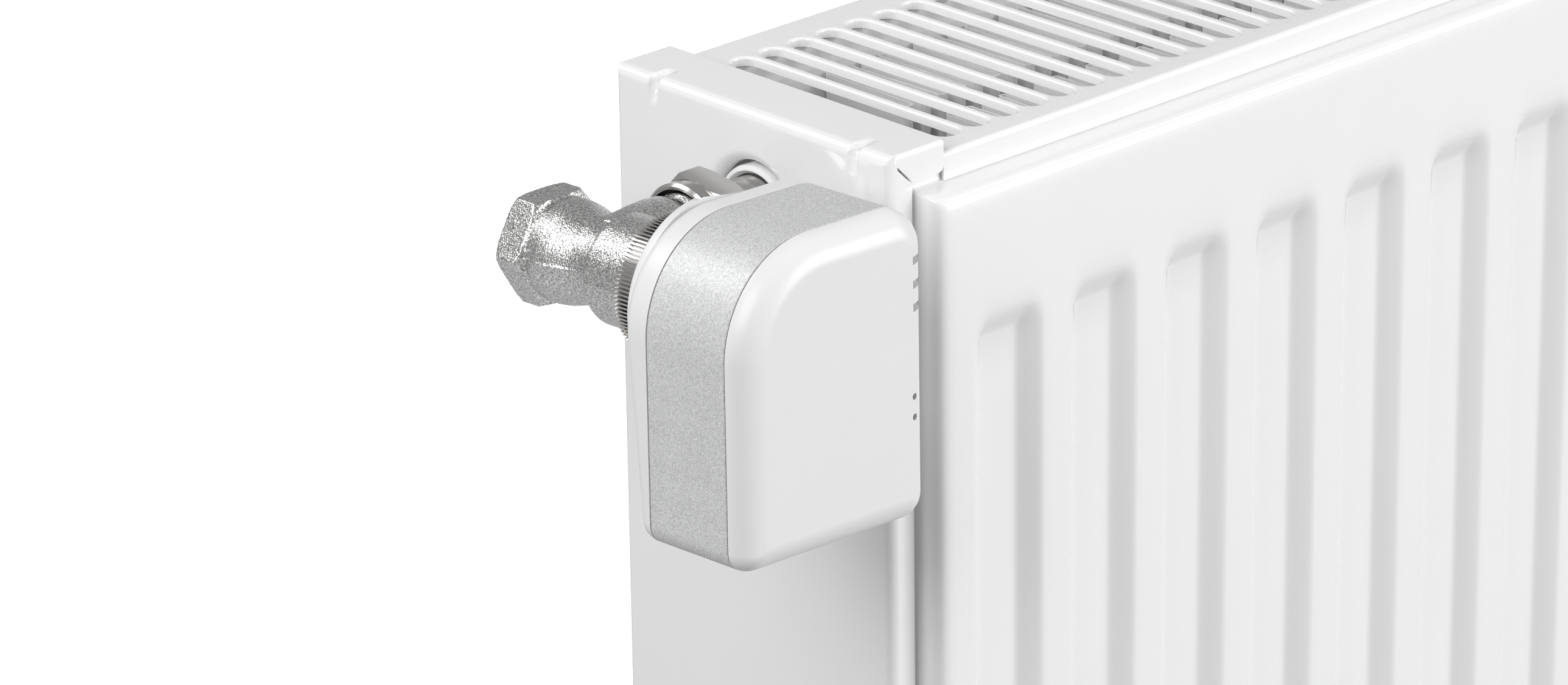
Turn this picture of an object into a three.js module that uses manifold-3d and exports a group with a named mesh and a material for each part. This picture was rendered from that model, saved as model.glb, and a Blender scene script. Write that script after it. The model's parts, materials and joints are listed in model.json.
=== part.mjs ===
// Double-panel radiator with a corner thermostatic valve and an electronic radiator head.
// Millimetres, +Z up. The front panel faces -Y, the wall side faces +Y, the valve end is at -X.
// Working frame: X = 0 at the valve-end cover's outer face, Y = 0 on the front panel's lands,
// Z = 0 on the covers' top flanges. The whole group is then moved so that its origin lies at
// mid-length on the wall side of the hanging lugs, level with the notches of the upper lugs.
import * as THREE from 'three';
import { mergeVertices } from 'three/addons/utils/BufferGeometryUtils.js';
import Module from 'manifold-3d';

const wasm = await Module();
wasm.setup();

// ---------------------------------------------------------------- driving dimensions
const RADIATOR = {
  length: 600,
  height: 600,
  depth: 105,               // front panel's lands to rear panel's lands
  coverFront: 7.6,          // how far the end covers' front edge lies behind the lands
  fitGap: 0.4,              // clearance between pieces that touch
};
const PRESSING = {
  sheet: 1.2,
  panelDepth: 14,
  flangeWidth: 6,
  groovePitch: 33.333,
  grooveCount: 17,
  grooveTop: 23.6,
  grooveFloor: 12.7,
  rampStart: 46,
  rampLength: 6.9,
  edgeWall: 1.2,
  edgeRound: 5.5,
  topInset: 11.2,
  sideInset: 9.5,
  outer: { flange: 9.2, groove: 5.4 }, // how far each feature lies behind the lands
  inner: { flange: 2, groove: 5.8 },
};
const GRILLE = {
  sheet: 0.9,
  drop: 3.5,
  fasciaHeight: 7.4,
  frontSetBack: 0.4,
  rearSetBack: 1.3,
  slotPitch: 10,
  slotWidth: 8,
  slotFrontMargin: 7.2,
  slotRearMargin: 11,
  endMargin: 26,
  endGap: 1.6,
};
const COVER = {
  sheet: 0.9,
  flange: 18.5,
  returnWidth: 7.8,
  flapHeight: 8,
  flapStart: 2.3,
  slitWidth: 0.5,
  holeRadius: 15.2,
  lipRadius: 13.4,
  lipDepth: 3.4,
};
const PORT = {
  drop: 27.1,
  depth: 55.6,
  tubeRadius: 12.5,
  boreRadius: 10.2,
  faceSetBack: 0.5,
  headerX: 20,
  headerRadius: 14,
};
const CONVECTOR = {
  sheet: 0.6,
  depth: 33,
  finTop: 17,
  finBase: 10,
  endInset: 55,
  topInset: 14,
};
const LUG = {
  reach: 16,
  sheet: 2.5,
  width: 32,
  height: 52,
  fromEnd: 100,
  fromTop: 78,
  notch: 7,
  notchDepth: 9,
};
const VALVE = {
  standOff: 46.2,           // cover face to valve axis
  turnAboutPort: -2.2,      // degrees, how the plumber left the union
  hexFlats: 26.5,
  hexStart: 17.5,
  hexEnd: 26,
  bulbRadius: 12.8,
  waistRadius: 10.9,
  barrelRadius: 14,
  barrelStart: -4.4,
  barrelEnd: -19.2,
  socketBore: 9.4,
  socketDepth: 13,
  seatBore: 6.5,
  seatPlane: 6,
  chamberBore: 9,
  chamberEnd: -9,
  insertBore: 10.8,
  branchRadius: 12,
  branchBore: 6.8,
  branchThread: 12.2,
  branchShoulder: 22,
  branchEnd: 32,
};
const UNION = {
  nutFlats: 27,
  nutTurn: 21,
  hexLength: 8.4,
  skirtRadius: 14,
  skirtLength: 4.3,
  lip: 2.2,
  hexFromCover: 10.8,
  tailBore: 6.8,
  tailFlange: 11.4,
  threadLength: 11,
  threadPlay: 0.4,
  neckStep: 0.6,
};
const INSERT = {
  flangeRadius: 14.6,
  flangeStart: -19.6,
  flangeEnd: -28.4,
  plugRadius: 10.4,
  guideRadius: 6,
  guideEnd: -31,
  spindleRadius: 1.9,
  spindleTip: -35,
  discRadius: 8.2,
  discThickness: 2.4,
  stroke: 3,
  springRadius: 4.3,
  springWire: 0.8,
  plugEnd: -10.4,
  springSeat: -11.4,
  boreEnd: -22.4,
  collarEnd: -20.6,
  collarLength: 1.2,
};
const RING = {
  radius: 17.2,
  start: -21.3,
  end: -31.4,
  boreRadius: 15,
  lipRadius: 12.6,
  lipLength: 2.6,
  ribs: 36,
  ribHeight: 0.5,
};
const HEAD = {
  rollAboutAxis: 1.8,       // degrees, how the head was clamped
  halfWidth: 30,
  top: 25.5,
  bottom: -52.5,
  bigCorner: 27,
  topCorner: 10,
  lowCorner: 6,
  wall: 2,
  collarRadius: 25,
  collarStart: -32,
  backPlane: -36.5,
  slopeTop: -15,
  slopeBottom: -48,
  slopeDepth: 4,
  bandStart: -45,
  bandEnd: -71.5,
  front: -78.5,
  coverEdge: 6.5,
  seam: 0.3,
  notchDepth: 1.1,
};
const DRIVE = {
  module: 1,
  wheelTeeth: 26,
  smallTeeth: 8,
  largeTeeth: 20,
  pinionTeeth: 8,
  backlash: 0.35,
  faceWidth: 3.2,
  wheelPlane: -50,
  motorRadius: 10,
  motorLength: 4,
  motorGap: 0.3,
  threadPitch: 3,
  plungerRadius: 4,
};
const CELL = {
  radius: 7.1,
  length: 49.5,
  nubRadius: 2.7,
  nubHeight: 1.2,
  spacing: 15.2,
  plane: -67.6,
  centreZ: -17.5,
};

// ---------------------------------------------------------------- finishes
const finish = (color, roughness, metalness) => new THREE.MeshStandardMaterial({ color, roughness, metalness });
const FINISH = {
  enamel: finish(0xf3f3f4, 0.22, 0), castNickel: finish(0xa9a9a6, 0.45, 1), nickel: finish(0xb9b7b2, 0.28, 1),
  brass: finish(0xb08d4a, 0.35, 1), steel: finish(0x9a9c9e, 0.35, 1), whitePlastic: finish(0xf4f4f5, 0.42, 0),
  silverPaint: finish(0xb4b5b7, 0.4, 0.6), rubber: finish(0x1b1b1c, 0.8, 0), darkPlastic: finish(0x3a3c3f, 0.6, 0),
  acetal: finish(0xe7e3d8, 0.5, 0), board: finish(0x1d5b3a, 0.55, 0), cellWrap: finish(0x2d3440, 0.4, 0),
};

// ---------------------------------------------------------------- solids
const { Manifold, Mesh: SolidMesh } = wasm;
const FLATNESS = 0.03;    // faces closer than this to one plane are merged

/** Turns a closed three.js geometry into a solid, with its faces pointing out. */
function solid(geometry) {
  const bare = geometry.clone();
  for (const name of Object.keys(bare.attributes)) if (name !== 'position') bare.deleteAttribute(name);
  const merged = mergeVertices(bare, 1e-4);
  const at = merged.attributes.position;
  let faces = [];
  let volume = 0;
  const p = [new THREE.Vector3(), new THREE.Vector3(), new THREE.Vector3()];
  for (let i = 0; i < merged.index.count; i += 3) {
    const t = [0, 1, 2].map((k) => merged.index.getX(i + k));
    if (t[0] === t[1] || t[1] === t[2] || t[2] === t[0]) continue;
    t.forEach((v, k) => p[k].fromBufferAttribute(at, v));
    volume += p[0].dot(p[1].clone().cross(p[2]));
    faces.push(t);
  }
  if (volume < 0) faces = faces.map(([a, b, c]) => [a, c, b]);
  return new Manifold(new SolidMesh({
    numProp: 3, vertProperties: new Float32Array(at.array), triVerts: new Uint32Array(faces.flat()),
  }));
}

/** Gives a solid back as a three.js geometry. */
function geometryOf(body) {
  const mesh = body.getMesh();
  const geometry = new THREE.BufferGeometry();
  geometry.setAttribute('position', new THREE.BufferAttribute(new Float32Array(mesh.vertProperties), 3));
  geometry.setIndex(new THREE.BufferAttribute(new Uint32Array(mesh.triVerts), 1));
  geometry.computeVertexNormals();
  return geometry;
}

/** A block from its lowest to its highest corner. */
function block(x0, x1, y0, y1, z0, z1) {
  const geometry = new THREE.BoxGeometry(x1 - x0, y1 - y0, z1 - z0);
  return solid(geometry.translate((x0 + x1) / 2, (y0 + y1) / 2, (z0 + z1) / 2));
}

const BASIS = {
  X: new THREE.Matrix4().set(0, 0, 1, 0, 1, 0, 0, 0, 0, 1, 0, 0, 0, 0, 0, 1),
  Y: new THREE.Matrix4().set(1, 0, 0, 0, 0, 0, -1, 0, 0, 1, 0, 0, 0, 0, 0, 1),
  Z: new THREE.Matrix4(),
};

/** Extrudes an outline between two planes across an axis. Outline points are (y, z), (x, z) or (x, y). */
function prism(axis, outline, from, to, holes = []) {
  const shape = new THREE.Shape(outline.map(([u, v]) => new THREE.Vector2(u, v)));
  for (const hole of holes) shape.holes.push(new THREE.Path(hole.map(([u, v]) => new THREE.Vector2(u, v))));
  const geometry = new THREE.ExtrudeGeometry(shape, { depth: to - from, bevelEnabled: false });
  geometry.translate(0, 0, axis === 'Y' ? -to : from);
  return solid(geometry.applyMatrix4(BASIS[axis]));
}

/** Turns a closed profile of (radius, position) points about an axis. */
function turned(axis, profile, segments = 32) {
  const points = profile.map(([r, a]) => new THREE.Vector2(r, a));
  const onAxis = profile[0][0] === 0 && profile.at(-1)[0] === 0;
  if (!onAxis) points.push(points[0].clone());
  const geometry = new THREE.LatheGeometry(points, segments);
  if (axis === 'X') geometry.rotateZ(-Math.PI / 2);
  if (axis === 'Z') geometry.rotateX(Math.PI / 2);
  return solid(geometry);
}

const rod = (axis, radius, from, to, segments = 32) =>
  turned(axis, [[0, from], [radius, from], [radius, to], [0, to]], segments);
const sleeve = (axis, outer, inner, from, to, segments = 32) =>
  turned(axis, [[inner, from], [outer, from], [outer, to], [inner, to]], segments);

/** The corners of a regular polygon. */
function ringOf(count, radius, turn = 0, centre = [0, 0]) {
  return Array.from({ length: count }, (_, i) => {
    const angle = turn + (i / count) * 2 * Math.PI;
    return [centre[0] + radius * Math.cos(angle), centre[1] + radius * Math.sin(angle)];
  });
}

const root = new THREE.Group();
const parts = new Map();

/** Adds a named piece to a group. */
function add(group, name, body, material) {
  const mesh = new THREE.Mesh(geometryOf(body.simplify(FLATNESS)), material);
  mesh.name = name;
  group.add(mesh);
  parts.set(name, mesh);
  return mesh;
}

// ---------------------------------------------------------------- radiator
const frontOfCover = RADIATOR.coverFront;
const totalDepth = RADIATOR.depth;
const backOfCover = totalDepth;
const portY = PORT.depth;
const portZ = -PORT.drop;
const lowPortZ = -RADIATOR.height + PORT.drop;

/** Breakpoints across the panel: [position, how far the sheet lies behind its lands]. */
function pressingProfile(length, inset, flangeWidth, flangeDepth) {
  const { edgeWall, edgeRound } = PRESSING;
  const edge = [
    [inset - flangeWidth, flangeDepth], [inset, flangeDepth],
    [inset + edgeWall, flangeDepth * 0.3], [inset + edgeWall + edgeRound * 0.35, flangeDepth * 0.08],
    [inset + edgeWall + edgeRound * 0.8, 0],
  ];
  return [...edge, ...edge.map(([at, depth]) => [length - at, depth]).reverse()];
}

const grooveCentres = Array.from({ length: PRESSING.grooveCount }, (_, i) =>
  RADIATOR.length / 2 + (i - (PRESSING.grooveCount - 1) / 2) * PRESSING.groovePitch);

/** A pressed panel sheet with vertical grooves: lands at planeY, grooves and weld flange behind them. */
function pressedSheet(planeY, into, features) {
  const { grooveTop, grooveFloor, rampStart, rampLength, sideInset, topInset, flangeWidth, sheet } = PRESSING;
  const grooveDepth = features.groove;
  const across = pressingProfile(RADIATOR.length, sideInset, flangeWidth, features.flange);
  const down = pressingProfile(RADIATOR.height, topInset, flangeWidth - 1, features.flange);
  const columns = [...across.slice(0, 5).map(([x, d]) => [x, d, 0])];
  for (const centre of grooveCentres) {
    for (const [offset, depth] of [[-grooveTop / 2, 0], [-grooveFloor / 2, grooveDepth], [grooveFloor / 2, grooveDepth], [grooveTop / 2, 0]]) {
      columns.push([centre + offset, 0, depth]);
    }
  }
  columns.push(...across.slice(5).map(([x, d]) => [x, d, 0]));
  const H = RADIATOR.height;
  const rows = [
    ...down.slice(0, 5).map(([z, d]) => [z, d, 0]),
    [rampStart, 0, 0], [rampStart + rampLength, 0, 1], [H - rampStart - rampLength, 0, 1], [H - rampStart, 0, 0],
    ...down.slice(5).map(([z, d]) => [z, d, 0]),
  ];
  const height = (c, r) => Math.max(c[1], r[1], c[2] * r[2]);
  const positions = [];
  for (const side of [0, sheet]) {
    for (const row of rows) {
      for (const column of columns) positions.push(column[0], planeY + into * (height(column, row) + side), -row[0]);
    }
  }
  const wide = columns.length;
  const layer = wide * rows.length;
  const index = [];
  const quad = (a, b, c, d) => index.push(a, b, c, a, c, d);
  for (let r = 0; r + 1 < rows.length; r += 1) {
    for (let c = 0; c + 1 < wide; c += 1) {
      const a = r * wide + c;
      quad(a, a + wide, a + wide + 1, a + 1);
      quad(layer + a, layer + a + 1, layer + a + wide + 1, layer + a + wide);
    }
  }
  const rim = [];
  for (let c = 0; c + 1 < wide; c += 1) rim.push(c);
  for (let r = 0; r + 1 < rows.length; r += 1) rim.push(r * wide + wide - 1);
  for (let c = wide - 1; c > 0; c -= 1) rim.push((rows.length - 1) * wide + c);
  for (let r = rows.length - 1; r > 0; r -= 1) rim.push(r * wide);
  rim.forEach((v, i) => { const n = rim[(i + 1) % rim.length]; quad(v, n, layer + n, layer + v); });
  const geometry = new THREE.BufferGeometry();
  geometry.setAttribute('position', new THREE.BufferAttribute(new Float32Array(positions), 3));
  geometry.setIndex(index);
  return solid(geometry);
}

add(root, 'front_panel_outer_sheet', pressedSheet(0, 1, PRESSING.outer), FINISH.enamel);
add(root, 'front_panel_inner_sheet', pressedSheet(PRESSING.panelDepth, -1, PRESSING.inner), FINISH.enamel);
add(root, 'rear_panel_inner_sheet', pressedSheet(totalDepth - PRESSING.panelDepth, 1, PRESSING.inner), FINISH.enamel);
add(root, 'rear_panel_outer_sheet', pressedSheet(totalDepth, -1, PRESSING.outer), FINISH.enamel);

/** A folded fin sheet that stands on a panel's inner sheet, one fin on each water way. */
function convector(baseY, outward) {
  const { sheet, depth, finTop, finBase, endInset, topInset } = CONVECTOR;
  const line = [[endInset, 0]];
  for (let i = 1; i + 2 < grooveCentres.length; i += 1) {
    const middle = (grooveCentres[i] + grooveCentres[i + 1]) / 2;
    line.push([middle - finTop / 2 - finBase / 8, 0], [middle - finTop / 2, depth - sheet],
      [middle + finTop / 2, depth - sheet], [middle + finTop / 2 + finBase / 8, 0]);
  }
  line.push([RADIATOR.length - endInset, 0]);
  const near = line.map(([x, y]) => [x, baseY + outward * y]);
  const slide = sheet * 1.2;
  const far = line.map(([x, y], i) => {
    const rising = i > 0 && i + 1 < line.length;
    const turn = rising ? (((i - 1) % 4) < 2 ? -slide : slide) : 0;
    return [x + turn, baseY + outward * (y + sheet)];
  });
  return prism('Z', [...near, ...far.reverse()], -RADIATOR.height + topInset, -topInset);
}
const finBase = PRESSING.panelDepth + RADIATOR.fitGap;
add(root, 'front_convector', convector(finBase, 1), FINISH.enamel);
add(root, 'rear_convector', convector(totalDepth - finBase, -1), FINISH.enamel);

/** The slotted top grille with its two fascias. */
function grille() {
  const { sheet, drop, fasciaHeight, frontSetBack, rearSetBack, slotPitch, slotWidth, endMargin, endGap } = GRILLE;
  const x0 = endGap;
  const x1 = RADIATOR.length - endGap;
  const y0 = frontOfCover + frontSetBack;
  const y1 = backOfCover - rearSetBack;
  const slots = Math.floor((RADIATOR.length - 2 * endMargin - slotWidth) / slotPitch) + 1;
  const firstSlot = RADIATOR.length / 2 - ((slots - 1) / 2) * slotPitch;
  const half = slotWidth / 2;
  const corner = slotWidth * 0.3;
  const low = y0 + GRILLE.slotFrontMargin;
  const high = y1 - GRILLE.slotRearMargin;
  const holes = Array.from({ length: slots }, (_, i) => {
    const x = firstSlot + i * slotPitch;
    return [[x - half, low + corner], [x - half, high - corner], [x - half + corner, high], [x + half - corner, high],
      [x + half, high - corner], [x + half, low + corner], [x + half - corner, low], [x - half + corner, low]];
  });
  const underFlap = y0 + sheet;      // the plate's ends pass behind the covers' front flaps
  const plate = prism('Z', [[x0, underFlap], [x1, underFlap], [x1, y1], [x0, y1]], -drop - sheet, -drop, holes);
  const frontEnd = COVER.flange + RADIATOR.fitGap;
  const front = block(frontEnd, RADIATOR.length - frontEnd, y0, underFlap + sheet / 4, -drop - fasciaHeight, -drop);
  const rear = block(x0, x1, y1 - sheet, y1, -drop - fasciaHeight, -drop);
  return plate.add(front).add(rear);
}
add(root, 'top_grille', grille(), FINISH.enamel);

/** An end cover: end plate, flanges, returns, corner flaps and two ports with turned-in lips. */
function endCover() {
  const { sheet, flange, returnWidth, flapHeight, flapStart, slitWidth, holeRadius, lipRadius, lipDepth } = COVER;
  const H = RADIATOR.height;
  const hem = GRILLE.drop - RADIATOR.fitGap;
  let cover = block(0, sheet, frontOfCover, backOfCover, -H, 0)
    .add(block(0, flange, frontOfCover, backOfCover, -sheet, 0))
    .add(block(0, flange, frontOfCover, backOfCover, -H, -H + sheet))
    .add(block(flange - sheet, flange, frontOfCover, backOfCover, -hem, 0));
  const flap = [[flapStart, 0], [flange, 0], [flange, -flapHeight + 1.6], [flange - 1.6, -flapHeight],
    [returnWidth, -flapHeight], [flapStart, -flapStart]];
  const folded = [[0, -sheet], [0, -H], [returnWidth, -H], [returnWidth, -flapHeight - slitWidth],
    [flapStart - slitWidth, -flapStart - slitWidth], [flapStart - slitWidth, -sheet]];
  for (const y of [frontOfCover, backOfCover - sheet]) {
    cover = cover.add(prism('Y', flap, y, y + sheet)).add(prism('Y', folded, y, y + sheet));
  }
  for (const z of [portZ, lowPortZ]) {
    const lip = turned('X', [[holeRadius, 0], [holeRadius + 2 * sheet, 0], [lipRadius + sheet, lipDepth], [lipRadius, lipDepth]], 40);
    cover = cover.add(lip.translate([0, portY, z]));
    cover = cover.subtract(rod('X', lipRadius, -1, 2 * lipDepth, 40).translate([0, portY, z]));
    const flare = turned('X', [[0, -1], [holeRadius + 0.6, -1], [lipRadius, lipDepth], [0, lipDepth]], 40);
    cover = cover.subtract(flare.translate([0, portY, z]));
  }
  return cover;
}
add(root, 'end_cover_valve_side', endCover(), FINISH.enamel);
add(root, 'end_cover_far_side', endCover().mirror([1, 0, 0]).translate([RADIATOR.length, 0, 0]), FINISH.enamel);

/** A corner tee: a header pipe between the panels with a threaded port that faces out. */
function cornerTee(z) {
  const inner = PRESSING.panelDepth + RADIATOR.fitGap;
  const { tubeRadius, boreRadius, faceSetBack, headerX, headerRadius } = PORT;
  const rim = turned('X', [[0, faceSetBack], [tubeRadius - 0.9, faceSetBack], [tubeRadius, faceSetBack + 0.9],
    [tubeRadius, headerX], [0, headerX]]);
  return rod('Y', headerRadius, inner - portY, totalDepth - inner - portY, 28).translate([headerX, 0, 0])
    .add(rim)
    .subtract(rod('Y', boreRadius, -totalDepth, totalDepth, 28).translate([headerX, 0, 0]))
    .subtract(rod('X', boreRadius, -1, headerX, 28))
    .translate([0, portY, z]);
}
for (const [end, flip] of [['valve', false], ['far', true]]) {
  for (const [level, z] of [['top', portZ], ['bottom', lowPortZ]]) {
    let tee = cornerTee(z);
    if (flip) tee = tee.mirror([1, 0, 0]).translate([RADIATOR.length, 0, 0]);
    add(root, `port_tee_${end}_${level}`, tee, FINISH.enamel);
  }
}

/** A hanging lug: a plate on the rear panel with a notched tongue that stands out to the wall. */
function hangingLug(x, z) {
  const { reach, sheet, width, height, notch, notchDepth } = LUG;
  const foot = totalDepth + RADIATOR.fitGap;
  const plate = block(x - width / 2, x + width / 2, foot, foot + sheet, z - height / 2, z + height / 2);
  const wallPlane = totalDepth + reach;
  const low = z - height / 2;
  const tongue = [[foot, low], [wallPlane, low], [wallPlane, z + height / 2], [foot, z + height / 2]];
  const cut = [[foot + sheet + 3, low - 1], [foot + sheet + 3 + notch, low - 1],
    [foot + sheet + 3 + notch, low + notchDepth], [foot + sheet + 3, low + notchDepth]];
  return plate.add(prism('X', tongue, x - sheet / 2, x + sheet / 2).subtract(prism('X', cut, x - sheet, x + sheet)));
}
const lugZ = { upper: -LUG.fromTop, lower: -RADIATOR.height + LUG.fromTop };
for (const [level, z] of Object.entries(lugZ)) {
  add(root, `${level}_lug_valve_side`, hangingLug(LUG.fromEnd, z), FINISH.enamel);
  add(root, `${level}_lug_far_side`, hangingLug(RADIATOR.length - LUG.fromEnd, z), FINISH.enamel);
}

// Far-end fittings: an air vent at the top port and a blanking plug at the bottom one.
const plugThread = PORT.boreRadius - RADIATOR.fitGap;
const farFace = RADIATOR.length - PORT.faceSetBack;
const PLUG = { thread: 10, flange: 2.6, flats: 22, seal: 1.6, screwRadius: 2.6, squareFlats: 5 };

/** A port plug with a hexagon head; the seal's thickness is left free under the head. */
function portPlug(z, through) {
  const head = prism('X', ringOf(6, PLUG.flats / Math.sqrt(3), Math.PI / 6), farFace + PLUG.seal, farFace + PLUG.seal + PLUG.flange + 2);
  let plug = head.add(rod('X', plugThread, farFace - PLUG.thread, farFace + PLUG.seal + 1, 28));
  if (through) plug = plug.subtract(rod('X', PLUG.screwRadius + 0.3, farFace - 12, farFace + 20, 20));
  else plug = plug.subtract(prism('X', ringOf(4, PLUG.squareFlats, Math.PI / 4), farFace - 3, farFace + 20));
  return plug.translate([0, portY, z]);
}
for (const [name, z] of [['air_vent_seal', portZ], ['blanking_plug_seal', lowPortZ]]) {
  const seal = sleeve('X', PORT.tubeRadius - 1.6, plugThread + 0.3, farFace + 0.3, farFace + PLUG.seal - 0.3, 24);
  add(root, name, seal.translate([0, portY, z]), FINISH.rubber);
}
add(root, 'air_vent_plug', portPlug(portZ, true), FINISH.nickel);
add(root, 'blanking_plug', portPlug(lowPortZ, false), FINISH.nickel);
const bleedScrew = rod('X', PLUG.screwRadius, farFace - 6, farFace + 7, 20)
  .add(prism('X', ringOf(4, 3.5, Math.PI / 4), farFace + 6.6, farFace + 12))
  .translate([0, portY, portZ]);
add(root, 'bleed_screw', bleedScrew, FINISH.brass);

// ---------------------------------------------------------------- valve
// The valve frame: origin where the valve axis meets the port axis, +Y towards the pipe, +X into the radiator.
const valve = new THREE.Group();
valve.position.set(-VALVE.standOff, portY, portZ);
valve.rotation.x = THREE.MathUtils.degToRad(VALVE.turnAboutPort);
root.add(valve);

function valveBody() {
  const v = VALVE;
  const hexRadius = v.hexFlats / Math.sqrt(3);
  const hex = prism('Y', ringOf(6, hexRadius), v.hexStart, v.hexEnd)
    .intersect(turned('Y', [[0, v.hexStart], [hexRadius, v.hexStart], [hexRadius, v.hexEnd - 1.2], [hexRadius - 1.4, v.hexEnd], [0, v.hexEnd]], 36));
  const trunk = turned('Y', [[0, v.hexEnd - 1], [v.bulbRadius - 0.6, v.hexEnd - 1], [v.bulbRadius - 0.4, v.hexStart - 0.5], [v.bulbRadius, v.hexStart - 4.5],
    [v.bulbRadius - 0.4, 7], [v.waistRadius, 1], [v.waistRadius, v.barrelStart + 1.4], [v.barrelRadius - 0.5, v.barrelStart],
    [v.barrelRadius, v.barrelStart - 1.5], [v.barrelRadius, v.barrelEnd + 1], [v.barrelRadius - 1, v.barrelEnd], [0, v.barrelEnd]], 36);
  const branch = turned('X', [[0, 0], [v.branchRadius - 0.6, 0], [v.branchRadius, 12], [v.branchRadius + 0.4, v.branchShoulder - 1.5],
    [v.branchThread - 1.2, v.branchShoulder], [v.branchThread - 1.2, v.branchShoulder + 1], [v.branchThread - 0.5, v.branchShoulder + 2],
    [v.branchThread - 0.5, v.branchEnd], [0, v.branchEnd]], 32);
  const bores = turned('Y', [[0, v.hexEnd + 1], [v.socketBore, v.hexEnd + 1], [v.socketBore, v.hexEnd - v.socketDepth],
    [v.seatBore, v.hexEnd - v.socketDepth - 1.5], [v.seatBore, v.seatPlane], [v.chamberBore, v.seatPlane],
    [v.chamberBore, v.chamberEnd], [v.insertBore, v.chamberEnd - 1], [v.insertBore, v.barrelEnd - 1], [0, v.barrelEnd - 1]], 28);
  return hex.add(trunk).add(branch).subtract(bores).subtract(rod('X', v.branchBore, 0, v.branchEnd + 1, 24));
}
add(valve, 'valve_body', valveBody(), FINISH.castNickel);

const hexOuter = VALVE.standOff - UNION.hexFromCover;      // nut's radiator-side face
const hexInner = hexOuter - UNION.hexLength;
const tailThread = PORT.boreRadius - UNION.threadPlay;
const tailNeck = tailThread - UNION.neckStep;
const tailFlangeFace = hexOuter - UNION.lip - RADIATOR.fitGap;
const nutBore = VALVE.branchThread + 0.3;

function unionNut() {
  const radius = UNION.nutFlats / Math.sqrt(3);
  const hex = prism('X', ringOf(6, radius, Math.PI / 2 - THREE.MathUtils.degToRad(UNION.nutTurn)), hexInner, hexOuter)
    .intersect(turned('X', [[0, hexInner], [radius - 1.3, hexInner], [radius, hexInner + 1], [radius, hexOuter - 1],
      [radius - 1.3, hexOuter], [0, hexOuter]], 36));
  return hex.add(rod('X', UNION.skirtRadius, hexInner - UNION.skirtLength, hexInner + 1))
    .subtract(rod('X', nutBore, hexInner - UNION.skirtLength - 1, hexOuter - UNION.lip))
    .subtract(rod('X', tailNeck + 0.4, hexInner, hexOuter + 1));
}
add(valve, 'union_nut', unionNut(), FINISH.nickel);

const coverFace = VALVE.standOff;                          // the cover's outer face in the valve frame
const tailpiece = turned('X', [
  [UNION.tailBore, VALVE.branchEnd + 0.6], [UNION.tailFlange, VALVE.branchEnd + 0.6], [UNION.tailFlange, tailFlangeFace],
  [tailNeck, tailFlangeFace], [tailNeck, coverFace - 3], [tailThread, coverFace - 2],
  [tailThread, coverFace + UNION.threadLength], [UNION.tailBore, coverFace + UNION.threadLength]], 28);
add(valve, 'radiator_tailpiece', tailpiece, FINISH.nickel);

// The thermostatic insert: bonnet, spindle with its seal disc, return spring and gland ring.
const bonnetBore = INSERT.springRadius + 1.2;
const spindleFit = INSERT.spindleRadius + 0.4;
const bonnet = turned('Y', [
  [spindleFit, INSERT.guideEnd], [INSERT.guideRadius, INSERT.guideEnd], [INSERT.guideRadius, INSERT.flangeEnd],
  [INSERT.flangeRadius - 0.6, INSERT.flangeEnd], [INSERT.flangeRadius, INSERT.flangeEnd + 0.6], [INSERT.flangeRadius, INSERT.flangeStart],
  [INSERT.plugRadius, INSERT.flangeStart], [INSERT.plugRadius, INSERT.plugEnd], [spindleFit, INSERT.plugEnd],
  [spindleFit, INSERT.springSeat], [bonnetBore, INSERT.springSeat], [bonnetBore, INSERT.boreEnd], [spindleFit, INSERT.boreEnd]], 32);
add(valve, 'valve_bonnet', bonnet, FINISH.brass);
const discFace = VALVE.seatPlane - 0.3 - INSERT.stroke;
const discBack = discFace - INSERT.discThickness - 0.3;
const collarFace = INSERT.collarEnd + INSERT.collarLength;
const spindle = turned('Y', [
  [0, INSERT.spindleTip], [INSERT.spindleRadius - 0.4, INSERT.spindleTip], [INSERT.spindleRadius, INSERT.spindleTip + 0.5],
  [INSERT.spindleRadius, INSERT.collarEnd], [INSERT.springRadius, INSERT.collarEnd], [INSERT.springRadius, collarFace],
  [INSERT.spindleRadius, collarFace], [INSERT.spindleRadius, discBack - 1.5], [INSERT.discRadius - 0.4, discBack - 1.5],
  [INSERT.discRadius - 0.4, discBack], [0, discBack]], 24);
add(valve, 'valve_spindle', spindle, FINISH.steel);
add(valve, 'seal_disc', rod('Y', INSERT.discRadius, discFace - INSERT.discThickness, discFace, 28), FINISH.rubber);

/** A helical spring about the Y axis between two planes. */
function spring(radius, wire, turns, from, to) {
  const curve = new THREE.Curve();
  curve.getPoint = (t) => {
    const angle = t * turns * 2 * Math.PI;
    return new THREE.Vector3(radius * Math.cos(angle), from + t * (to - from), radius * Math.sin(angle));
  };
  const section = new THREE.Shape(ringOf(5, wire / 2).map(([u, v]) => new THREE.Vector2(u, v)));
  return solid(new THREE.ExtrudeGeometry(section, { steps: turns * 12, extrudePath: curve, bevelEnabled: false }));
}
add(valve, 'return_spring', spring(INSERT.springRadius - 0.7, INSERT.springWire, 3, collarFace + 0.8, INSERT.springSeat - 0.8), FINISH.steel);
const gland = sleeve('Y', bonnetBore - 0.4, spindleFit, INSERT.boreEnd + 0.3, INSERT.collarEnd - 0.4, 20);
add(valve, 'spindle_gland_ring', gland, FINISH.rubber);

// ---------------------------------------------------------------- head
// The head frame shares the valve's origin and axes, turned about the valve axis.
const head = new THREE.Group();
head.rotation.y = THREE.MathUtils.degToRad(HEAD.rollAboutAxis);
valve.add(head);

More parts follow.
